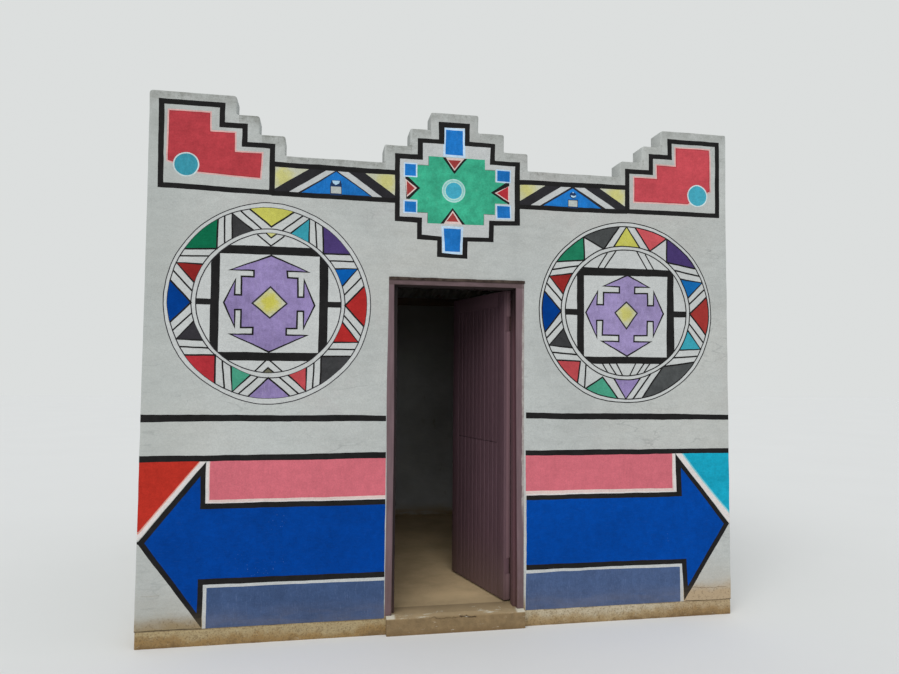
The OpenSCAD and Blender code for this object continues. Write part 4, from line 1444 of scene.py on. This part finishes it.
def spaced_profile(points, spacing):
    """The step's section with the same count of points at every place along it."""
    out = []
    for i, point in enumerate(points):
        a, b = Vector(point), Vector(points[(i + 1) % len(points)])
        long_side = i >= len(points) - 3 or i == 0
        parts = 6 if long_side and (b - a).length > 4 * spacing else 1
        out += [tuple(a.lerp(b, k / parts)) for k in range(parts)]
    return out


def steel_look():
    """Brush-painted steel: streaks, dull patches, grime at its feet, dirt and a dark top strip on its head,
    painted shade in its reveal.
    """
    look = Look("frame_enamel", (109, 88, 92), 0.6, 0.25)
    upright = look.noise(26.0, 5, 0.6, (2, 2, 0.16)).run(0.28, 0.72)
    across = look.noise(26.0, 5, 0.6, (0.16, 2, 2)).run(0.28, 0.72)
    at_head = look.z.run(FRAME_TOP - 0.052, FRAME_TOP - 0.046)
    look.shade(across * at_head + upright * (1.0 - at_head), 0.82, 1.16)
    look.coat(0.84, look.noise(5.0, 5, 0.6, offset=7.0).run(0.38, 0.68, 0.0, 0.5))
    # Painted shade in the rebates and on the stops: darkest on the closing jamb and toward the head, with the
    # hinge side's stop face left lighter as a painted lit face.
    right_side = look.x.run(-0.01, 0.01)
    lit_stop_side = look.y.run(FRONT_Y + REBATE + 0.004, FRONT_Y + REBATE + 0.008) * right_side
    reveal_painted_shade = look.mix(lit_stop_side, look.mix(right_side, (40, 28, 30), (90, 60, 66)), (104, 76, 82))
    reveal_painted_shade = look.mix(look.z.run(FRAME_TOP - 0.50, FRAME_TOP - 0.10, 0.0, 0.95), reveal_painted_shade, (24, 14, 14))
    look.coat(reveal_painted_shade, look.y.run(FRONT_Y + 0.003, FRONT_Y + 0.008))
    wander = look.noise(14.0, 5, 0.65, offset=23.0).run(0.2, 0.8, -0.004, 0.004)
    lapped = (look.x + wander).run(FRAME_HALF - 0.0155, FRAME_HALF - 0.0125)
    between = look.z.run(0.62, 0.85) * look.z.run(1.95, 2.12, 0.85, 0.25)
    worn = look.mix(look.noise(30.0, 5, 0.7).run(0.35, 0.65), (150, 140, 136), (182, 175, 170))
    look.coat(worn, lapped * between)
    look.coat((72, 58, 54), at_head * look.noise(10.0, 6, 0.7, (1, 1, 2), 19.0).run(0.30, 0.62, 0.10, 0.55))
    look.coat((78, 58, 48), look.noise(60.0, 5, 0.7, (1, 1, 0.5), 3.0).run(0.68, 0.74, 0.0, 0.6))
    blotch = look.noise(11.0, 5, 0.65, offset=12.0).run(0.30, 0.66, 0.35, 1.0)
    look.coat((88, 66, 58), look.z.run(0.12, 0.60, 0.62, 0.0) * blotch)
    # A dark strip along the top of the head's face, just under the crust.
    look.coat((66, 50, 48), look.z.run(FRAME_TOP - 0.028, FRAME_TOP - 0.012, 0.0, 0.85))
    return look.finish(look.noise(40.0, 5, 0.65, (2, 2, 0.25)), 0.0012, 0.5)


def build_door_frame():
    """Pressed steel frame: a rebate on each face, a stop between them, and mitred corners at the head."""
    bend, fold_r, lip = 0.003, 0.0015, 0.0016
    face = FRAME_HALF - DOOR_CLEAR_HALF

    def section(edge, stop, lap=0.0):
        """The folded steel as (t, y): t runs from the clear opening's edge into the wall."""
        inner, back = WALL_T - REBATE + 0.004, WALL_T + lip
        return rounded([
            (face + lap, -lip, fold_r), (edge, -lip, bend), (edge, REBATE, bend), (-stop, REBATE, bend),
            (-stop, inner, bend), (0, inner, bend), (0, back, bend), (face + lap, back, fold_r)], 4)

    def left_at(z):
        """The closing jamb's section: its face is uneven where the paint laps on to the plaster."""
        edge = float(np.interp(z, (0.12, 1.30, 2.10), (0.010, 0.006, 0.015)))
        heights = (0.12, 0.45, 0.82, 1.14, 1.39, 1.64, 1.89, 2.14)
        laps = (0.009, 0.0085, 0.0055, 0.0085, 0.012, 0.0125, 0.008, 0.006)
        return section(edge, STOP_H, float(np.interp(z, heights, laps)))

    def right_at(z):
        """The hinge jamb's section: its face widens toward the head."""
        return section(float(np.interp(z, (0.30, 1.90), (0.0, -0.012))), 0.0155)

    def dented(x, y, z):
        dent = 0.0008 * noise.noise(Vector((x * 8, y * 20, z * 5)))
        return x + dent, FRONT_Y + y + dent, z

    def mitre(side, jamb):
        """The corner where a jamb meets the head. Side is -1 or 1."""
        return [dented(side * (DOOR_CLEAR_HALF + u), y, head_z + t) for (u, _), (t, y) in zip(jamb, head)]

    head = section(-0.002, STOP_H)
    head_z = FRAME_TOP - face
    foot_z = SILL_HIGH.z
    upright_z = [foot_z + (head_z - foot_z) * k / 20 for k in range(20)]
    path = [[dented(-(DOOR_CLEAR_HALF + t), y, z) for t, y in left_at(z)] for z in upright_z]
    path.append(mitre(-1, left_at(head_z)))
    for share in [k / 10 for k in range(1, 10)]:
        path.append([dented((2 * share - 1) * (DOOR_CLEAR_HALF + t), y, head_z + t) for t, y in head])
    path.append(mitre(1, right_at(head_z)))
    path += [[dented(DOOR_CLEAR_HALF + t, y, z) for t, y in right_at(z)] for z in upright_z[::-1]]
    add_piece("pressed_steel_frame", loft(path), steel_look(), "frame_paint",
              "door_jamb_lock", "door_jamb_hinge", "door_head")


def build_head_ledge():
    """A crust of mortar and dust that lies along the top of the frame's head, near black: partly its dirt,
    partly painted shade.
    """
    reach, inner = FRAME_HALF + 0.004, 0.004
    count = 60
    rings = []
    for k in range(count + 1):
        x = -reach + 2 * reach * k / count
        tall = 0.0180 + 0.0030 * noise.noise(Vector((x * 9, 3.0, 1.0)))
        out = 0.0055 + 0.0020 * noise.noise(Vector((x * 14, 9.0, 1.0)))
        z = FRAME_TOP - 0.015 + 0.0020 * noise.noise(Vector((x * 11, 5.0, 4.0)))
        top = z + tall
        section = rounded([(inner, z, 0), (-out, z, 0.0015), (-out, top, 0.003), (inner, top, 0)], 3)
        rings.append([(x, FRONT_Y + y, height) for y, height in section])
    # Painted shade: the crust's base colour is near black, with lighter dust over it.
    look = Look("head_crust", (44, 34, 31), 0.95, 0.15)
    dust = look.noise(30.0, 6, 0.7).run(0.3, 0.7)
    look.coat((80, 68, 60), dust)
    add_piece("frame_head_crust", loft(rings), look.finish(dust, 0.002, 0.6), "wall_plaster", sharp=60)


def closed_place(look):
    """Where a spot of the open leaf lies along x and y when the door is shut."""
    along_x = (math.cos(REST_TURN), math.sin(REST_TURN), 0.0)
    along_y = (-math.sin(REST_TURN), math.cos(REST_TURN), 0.0)
    return [look.vectors("DOT_PRODUCT", look.place, way) + (start - PIVOT.x * way[0] - PIVOT.y * way[1])
            for way, start in ((along_x, PIVOT.x), (along_y, PIVOT.y))]


def door_look():
    """Mauve paint brushed along the boards, pale in streaks, with a painted highlight on its hinge edge, and
    dusty near the floor.
    """
    look = Look("door_mauve_paint", (93, 68, 76), 0.58, 0.4)
    look.shade(look.noise(34.0, 6, 0.65, (2.4, 2.4, 0.10)).run(0.28, 0.72), 0.86, 1.12)
    look.coat(0.80, look.noise(4.0, 5, 0.6, (1, 1, 0.5), 5.0).run(0.35, 0.68, 0.0, 0.6))
    x, y = closed_place(look)
    front = INNER_Y - LEAF_T
    # Painted highlight: the hinge edge is lighter, more so toward the back of the leaf.
    lit_hinge_edge = x.run(LEAF_RIGHT - 0.005, LEAF_RIGHT - 0.001)
    look.coat((134, 104, 110), lit_hinge_edge * y.run(front + 0.012, front + 0.024, 0.25, 1.0))
    look.coat((150, 122, 124), look.noise(48.0, 6, 0.72, (2, 2, 0.2), 15.0).run(0.62, 0.74, 0.0, 0.4))
    look.coat((112, 92, 84), look.z.run(0.12, 0.55, 0.4, 0.0))
    return look.finish(look.noise(60.0, 6, 0.65, (3, 3, 0.12)), 0.0016, 0.55)


def hinge_stile(low, high, hinges):
    """A stile whose inner corner is cut back where the hinges' knuckles turn. Hinges are spans of z."""
    (x0, y0, z0), (x1, y1, z1) = low, high
    r, cut, uncut, slope, cut_r = 0.002, 0.009, 0.001, 0.004, 0.0003

    def ring(inset, z, back=uncut):
        corner = max(r - inset, r * 0.25)
        outline = rounded([
            (x0 + inset, y0 + inset, corner), (x1 - inset, y0 + inset, corner),
            (x1 - inset, y1 - inset - back, cut_r), (x1 - inset - back, y1 - inset, cut_r),
            (x0 + inset, y1 - inset, corner)], 3)
        return [(x, y, z) for x, y in outline]

    rings = [ring(r, z0), ring(0.3 * r, z0 + 0.3 * r), ring(0, z0 + r)]
    for bottom, top in hinges:
        rings += [ring(0, bottom - slope), ring(0, bottom - uncut, cut), ring(0, top + uncut, cut),
                  ring(0, top + slope)]
    return loft(rings + [ring(0, z1 - r), ring(0.3 * r, z1 - 0.3 * r), ring(r, z1)])


def build_door():
    """The framed and boarded leaf, drawn shut and then swung to where it stands."""
    front, back = INNER_Y - LEAF_T, INNER_Y + 0.008
    rail_front = front + BOARD_T
    z0, z1 = (corner.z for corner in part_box("door_stile_lock"))
    middle = (z0 + z1) / 2
    left, right = LEAF_LEFT + STILE_W, LEAF_RIGHT - STILE_W
    opened = Matrix.Translation(PIVOT) @ Matrix.Rotation(REST_TURN, 4, "Z") @ Matrix.Translation(-PIVOT)
    material = door_look()

    def leaf_piece(name, parts, *nodes):
        verts, faces = joined(parts)
        swung = [opened @ Vector(v) for v in verts]
        add_piece(name, (swung, faces), material, "door_wood", *nodes, body="door")

    gap = 0.0004
    hinges = [[corner.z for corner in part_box(f"hinge_{end}_leaf")] for end in ("bottom", "top")]
    leaf_piece("door_stiles_and_top_rail", [
        eased_box((LEAF_LEFT, front, z0), (left - gap, back, z1)),
        hinge_stile((right + gap, front, z0), (LEAF_RIGHT, back, z1), hinges),
        eased_box((left, front, z1 - STILE_W), (right, back, z1))],
        "door_stile_lock", "door_stile_hinge", "door_top_rail")
    leaf_piece("door_back_rails", [
        eased_box((left, rail_front, middle - RAIL_H / 2), (right, back, middle + RAIL_H / 2)),
        eased_box((left, rail_front, z0), (right, back, z0 + RAIL_H))],
        "door_mid_rail", "door_bottom_rail")
    board_w = (right - left) / BOARDS

    def board(i, low, high):
        """One board: a V edge and a small bead along its left side."""
        x0, x1 = left + i * board_w, left + (i + 1) * board_w
        v, bead, slit, small_r, bead_r = 0.0038, 0.0008, 0.0002, 0.0004, 0.0012
        tilt = 0.0006 * math.sin(i * 2.3)
        section = rounded([
            (x0 + slit, front + v, small_r), (x0 + v, front + bead + tilt, bead_r),
            (x1 - v, front + bead - tilt, bead_r), (x1 - slit, front + v, small_r),
            (x1 - slit, rail_front, small_r), (x0 + slit, rail_front, small_r)], 3)
        centre = Vector(((x0 + x1) / 2, front + BOARD_T / 2))
        levels = ((low + 0.0006, 0.985), (low + 0.002, 1.0), (high - 0.002, 1.0), (high - 0.0006, 0.985))
        return loft([[(*(centre + (Vector(p) - centre) * share), z) for p in section] for z, share in levels])

    joint = 0.0012
    halves = ((z0, middle - joint), (middle + joint, z1 - STILE_W))
    leaf_piece("door_boards", [board(i, low, high) for low, high in halves for i in range(BOARDS)],
               "door_boards_upper", "door_boards_lower")


def hinge_look(name, colour, reach):
    """A plate brushed over with its neighbour's paint, dark and rusty within reach of its pin."""
    look = Look(name, colour, 0.6, 0.25)
    look.shade(look.noise(34.0, 6, 0.65, (2.4, 2.4, 0.20)).run(0.28, 0.72), 0.86, 1.12)
    rust = look.mix(look.noise(90.0, 5, 0.7).run(0.35, 0.65), (38, 25, 25), (70, 45, 42))
    look.coat(rust, look.away_from(X=PIVOT.x, Y=PIVOT.y).run(reach, reach + 0.0015, 1.0, 0.0))
    return look.finish(look.noise(60.0, 5, 0.65), 0.001, 0.5)


def repaint(node, material):
    """Gives one of the frame's own solids a material."""
    made_of = frame["nodes"][node].data.materials
    made_of.clear()
    made_of.append(material)


def round_head(spot, across, up, out, levels, count):
    """A screw's or nail's head at a spot, as rings of (radius, height) in three directions."""
    turns = [t * math.pi / (count / 2) for t in range(count)]
    return loft([[spot + across * r * math.cos(t) + up * r * math.sin(t) + out * h for t in turns]
                 for r, h in levels])


def build_hinges():
    """The hinges are the frame's own solids, painted over with frame and leaf. Screw heads are added."""
    plates = {"frame": hinge_look("hinge_frame_enamel", (80, 55, 60), 0.0300),
              "leaf": hinge_look("hinge_leaf_enamel", (108, 82, 88), 0.0100)}
    levels = ((0.0036, -0.0005), (0.0036, 0.0001), (0.0028, 0.0003), (0.0012, 0.0004))
    screws = []
    for end in ("top", "bottom"):
        for side, material in plates.items():
            repaint(f"hinge_{end}_{side}", material)
        low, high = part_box(f"hinge_{end}_frame")
        for k, share in enumerate((0.12, 0.38, 0.62, 0.88)):
            y = INNER_Y - (0.012 if k % 2 else 0.026)
            spot = Vector((DOOR_CLEAR_HALF - 0.002, y, low.z + (high.z - low.z) * share))
            ways = (Vector((0, 1, 0)), Vector((0, 0, 1)), Vector((-1, 0, 0)))
            screws.append(round_head(spot, *ways, levels, 12))
    add_piece("hinge_screws", joined(screws), plates["frame"], "hinge_paint")


def iron_look():
    """Galvanised iron: spangle, dull zinc and rust that starts at the laps and the eaves."""
    look = Look("galvanised_iron", (168, 171, 172), 0.48, metallic=0.55)
    look.shade(look.cells(55.0, "Color").run(0.2, 0.8), 0.84, 1.08)
    look.coat((142, 142, 138), look.noise(2.0, 6, 0.65, (1, 0.5, 1)).run(0.35, 0.68, 0.0, 0.75))
    eaves = look.y.run(BACK_HIGH.y - 0.5, BACK_HIGH.y + 0.08, 0.0, 0.10)
    rust = (look.noise(4.5, 7, 0.7, (2.0, 0.45, 1), 11.0) + eaves).run(0.58, 0.72)
    look.coat((132, 78, 46), rust * 0.8)
    return look.finish(look.noise(45.0, 5, 0.6), 0.0012, 0.35, rust.run(0.0, 1.0, 0.46, 0.85))


def build_roof():
    """Five corrugated sheets that lap each other by one wave, slightly dented, and their nails."""
    iron = iron_look()
    up = Vector((0, -math.cos(ROOF_PITCH), math.sin(ROOF_PITCH)))
    out = Vector((0, math.sin(ROOF_PITCH), math.cos(ROOF_PITCH)))
    parts_per_wave, rows = 12, 26
    columns = WAVES_PER_SHEET * parts_per_wave
    wide = columns + 1
    layer = (rows + 1) * wide
    edge = list(range(wide))
    edge += [r * wide + columns for r in range(1, rows + 1)]
    edge += [rows * wide + c for c in range(columns - 1, -1, -1)]
    edge += [r * wide for r in range(rows - 1, 0, -1)]
    levels = ((0.014, 0.0002), (0.014, 0.0014), (0.0085, 0.0028), (0.0065, 0.0052), (0.003, 0.0068))
    nails = []
    for number in range(1, 6):
        node = f"roof_sheet_{number}"
        low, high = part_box(node)
        wave_w = (high.x - low.x) / WAVES_PER_SHEET
        raised = SHEET_T + 0.0002 if number % 2 == 0 else 0.0
        slope_len = (high.y - WAVE_D * math.sin(ROOF_PITCH) - low.y) / math.cos(ROOF_PITCH)
        foot = Vector((0, low.y, high.z)) - up * slope_len - out * (WAVE_D + SHEET_T + raised)

        def spot(column, row, top, foot=foot, low=low, wave_w=wave_w, raised=raised, slope_len=slope_len):
            x = low.x + wave_w * column / parts_per_wave
            along = slope_len * row / rows
            height = WAVE_D / 2 * (1 - math.cos(2 * math.pi * column / parts_per_wave)) + raised
            dent = 0.0016 * (noise.noise(Vector((x * 3.0, along * 2.2, 6.0))) - 1) + 0.0016
            fade = min(1.0, row / 3, (rows - row) / 3)
            return Vector((x, 0, 0)) + foot + up * along + out * (height + top + dent * fade * 0.6)

        verts = [spot(c, r, t) for t in (0.0, SHEET_T) for r in range(rows + 1) for c in range(wide)]
        faces = []
        for a in (r * wide + c for r in range(rows) for c in range(columns)):
            quad = (a, a + 1, a + wide + 1, a + wide)
            faces += [quad, tuple(i + layer for i in quad[::-1])]
        for a, b in zip(edge, edge[1:] + edge[:1]):
            faces.append((a, b, b + layer, a + layer))
        add_piece(f"corrugated_{number}", (verts, faces), iron, "roof_iron", node, sharp=60)

        for purlin in range(1, 5):
            purlin_low, purlin_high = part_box(f"purlin_{purlin}")
            along = (foot.y - (purlin_low.y + purlin_high.y) / 2) / math.cos(ROOF_PITCH)
            for wave in range(0 if number == 1 else 2, WAVES_PER_SHEET, 3):
                x = low.x + wave_w * (wave + 0.5)
                nail = Vector((x, 0, 0)) + foot + up * along + out * (WAVE_D + SHEET_T + raised)
                nails.append(round_head(nail, Vector((1, 0, 0)), up, out, levels, 10))
    add_piece("roof_nails", joined(nails), iron, "roof_iron")
    repaint("roof_flashing", iron)


def build_purlins():
    """Sawn softwood purlins gone grey-brown, set square to the roof, with eased arrises."""
    look = Look("purlin_timber", (92, 72, 54), 0.82, 0.25)
    grain = look.noise(30.0, 6, 0.65, (0.08, 2, 2)).run(0.3, 0.7)
    look.shade(grain, 0.66, 1.15)
    look.coat((84, 76, 66), look.noise(3.0, 5, 0.6, offset=6.0).run(0.35, 0.7, 0.0, 0.6))
    material = look.finish(grain, 0.0015, 0.5)
    wide, deep, arris_r = 0.050, 0.076, 0.003
    tilt = Matrix.Rotation(-ROOF_PITCH, 4, "X")
    lying = Matrix(((0, 0, 1, 0), (0, 1, 0, 0), (1, 0, 0, 0), (0, 0, 0, 1)))
    for number in range(1, 5):
        node = f"purlin_{number}"
        low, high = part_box(node)
        verts, faces = eased_box((-deep / 2, -wide / 2, low.x), (deep / 2, wide / 2, high.x), arris_r)
        middle = Matrix.Translation(Vector((0, (low.y + high.y) / 2, (low.z + high.z) / 2)))
        verts = [middle @ tilt @ lying @ Vector(v) for v in verts]
        add_piece(f"timber_{number}", (verts, faces), material, "roof_timber", node)


def build_floor_slab():
    """The screed is the frame's own slab."""
    look = Look("floor_screed", SCREED, 0.82, 0.3)
    lay_screed(look)
    look.coat(look.times(0.78), look.y.run(INNER_Y + 0.02, INNER_Y + 0.24, 1.0, 0.0))
    repaint("floor_slab", look.finish(look.noise(80.0, 6, 0.65), 0.002, 0.5))


def build_camera():
    """The photograph's viewpoint, solved from the wall's edges and the door frame."""
    focal_px, image_w, sensor = 701.267, 899, 36.0
    yaw, pitch, roll = 0.185815, 0.0535086, 0.00736524
    eye = Vector((-0.89775, FRONT_Y - 4.480, 1.62914))
    ahead = Vector((math.sin(yaw) * math.cos(pitch), math.cos(yaw) * math.cos(pitch), math.sin(pitch)))
    right = Vector((math.cos(yaw), -math.sin(yaw), 0))
    up = right.cross(ahead)
    right, up = (math.cos(roll) * right + math.sin(roll) * up,
                 -math.sin(roll) * right + math.cos(roll) * up)
    camera = bpy.data.objects.new("camera", bpy.data.cameras.new("camera"))
    camera.data.sensor_width = sensor
    camera.data.lens = focal_px * sensor / image_w
    turn = Matrix((right, up, -ahead)).transposed().to_4x4()
    camera.matrix_world = Matrix.Translation(eye) @ turn
    bpy.context.scene.collection.objects.link(camera)
    bpy.context.scene.camera = camera


def build_stage():
    """A pale floor, an even sky and one wide soft lamp from the front left."""
    look = Look("stage_floor", (225, 225, 223), 0.9, 0.1)
    look.coat((229, 229, 227), look.noise(0.6, 3))
    size = 45.0
    verts = [(-size, -size, 0), (size, -size, 0), (size, size, 0), (-size, size, 0)]
    make_object("stage_floor", verts, [(0, 1, 2, 3)], [look.finish()], smooth=False)

    world = bpy.data.worlds.new("pale_sky")
    bpy.context.scene.world = world
    world.use_nodes = True
    tree = world.node_tree
    sky = tree.nodes["Background"]
    sky.inputs["Color"].default_value = (0.93, 0.97, 1.0, 1)
    sky.inputs["Strength"].default_value = 0.62
    seen = add_node(tree, "ShaderNodeBackground", Color=(0.716, 0.735, 0.730, 1), Strength=1.0)
    camera, glossy, through = (Field(add_node(tree, "ShaderNodeLightPath").outputs[f"Is {kind} Ray"])
                               for kind in ("Camera", "Glossy", "Transmission"))
    blend = add_node(tree, "ShaderNodeMixShader")
    feed(blend.inputs[0], camera.math("MAXIMUM", glossy.math("MAXIMUM", through)))
    feed(blend.inputs[1], sky.outputs[0])
    feed(blend.inputs[2], seen.outputs[0])
    feed(tree.nodes["World Output"].inputs[0], blend.outputs[0])

    lamp = bpy.data.lights.new("soft_key", "SUN")
    lamp.energy = 1.6
    lamp.angle = math.radians(50)
    key = bpy.data.objects.new("soft_key", lamp)
    key.rotation_euler = Vector((-0.45, -1.0, 1.05)).to_track_quat("Z", "Y").to_euler()
    bpy.context.scene.collection.objects.link(key)
    bpy.context.scene.view_settings.view_transform = "Standard"


build_camera()
build_stage()
paint_materials = paint_set()
build_front(paint_materials)
build_plain_walls(paint_materials)
build_plinth()
build_threshold()
build_floor_slab()
build_door_frame()
build_head_ledge()
build_door()
build_hinges()
build_roof()
build_purlins()
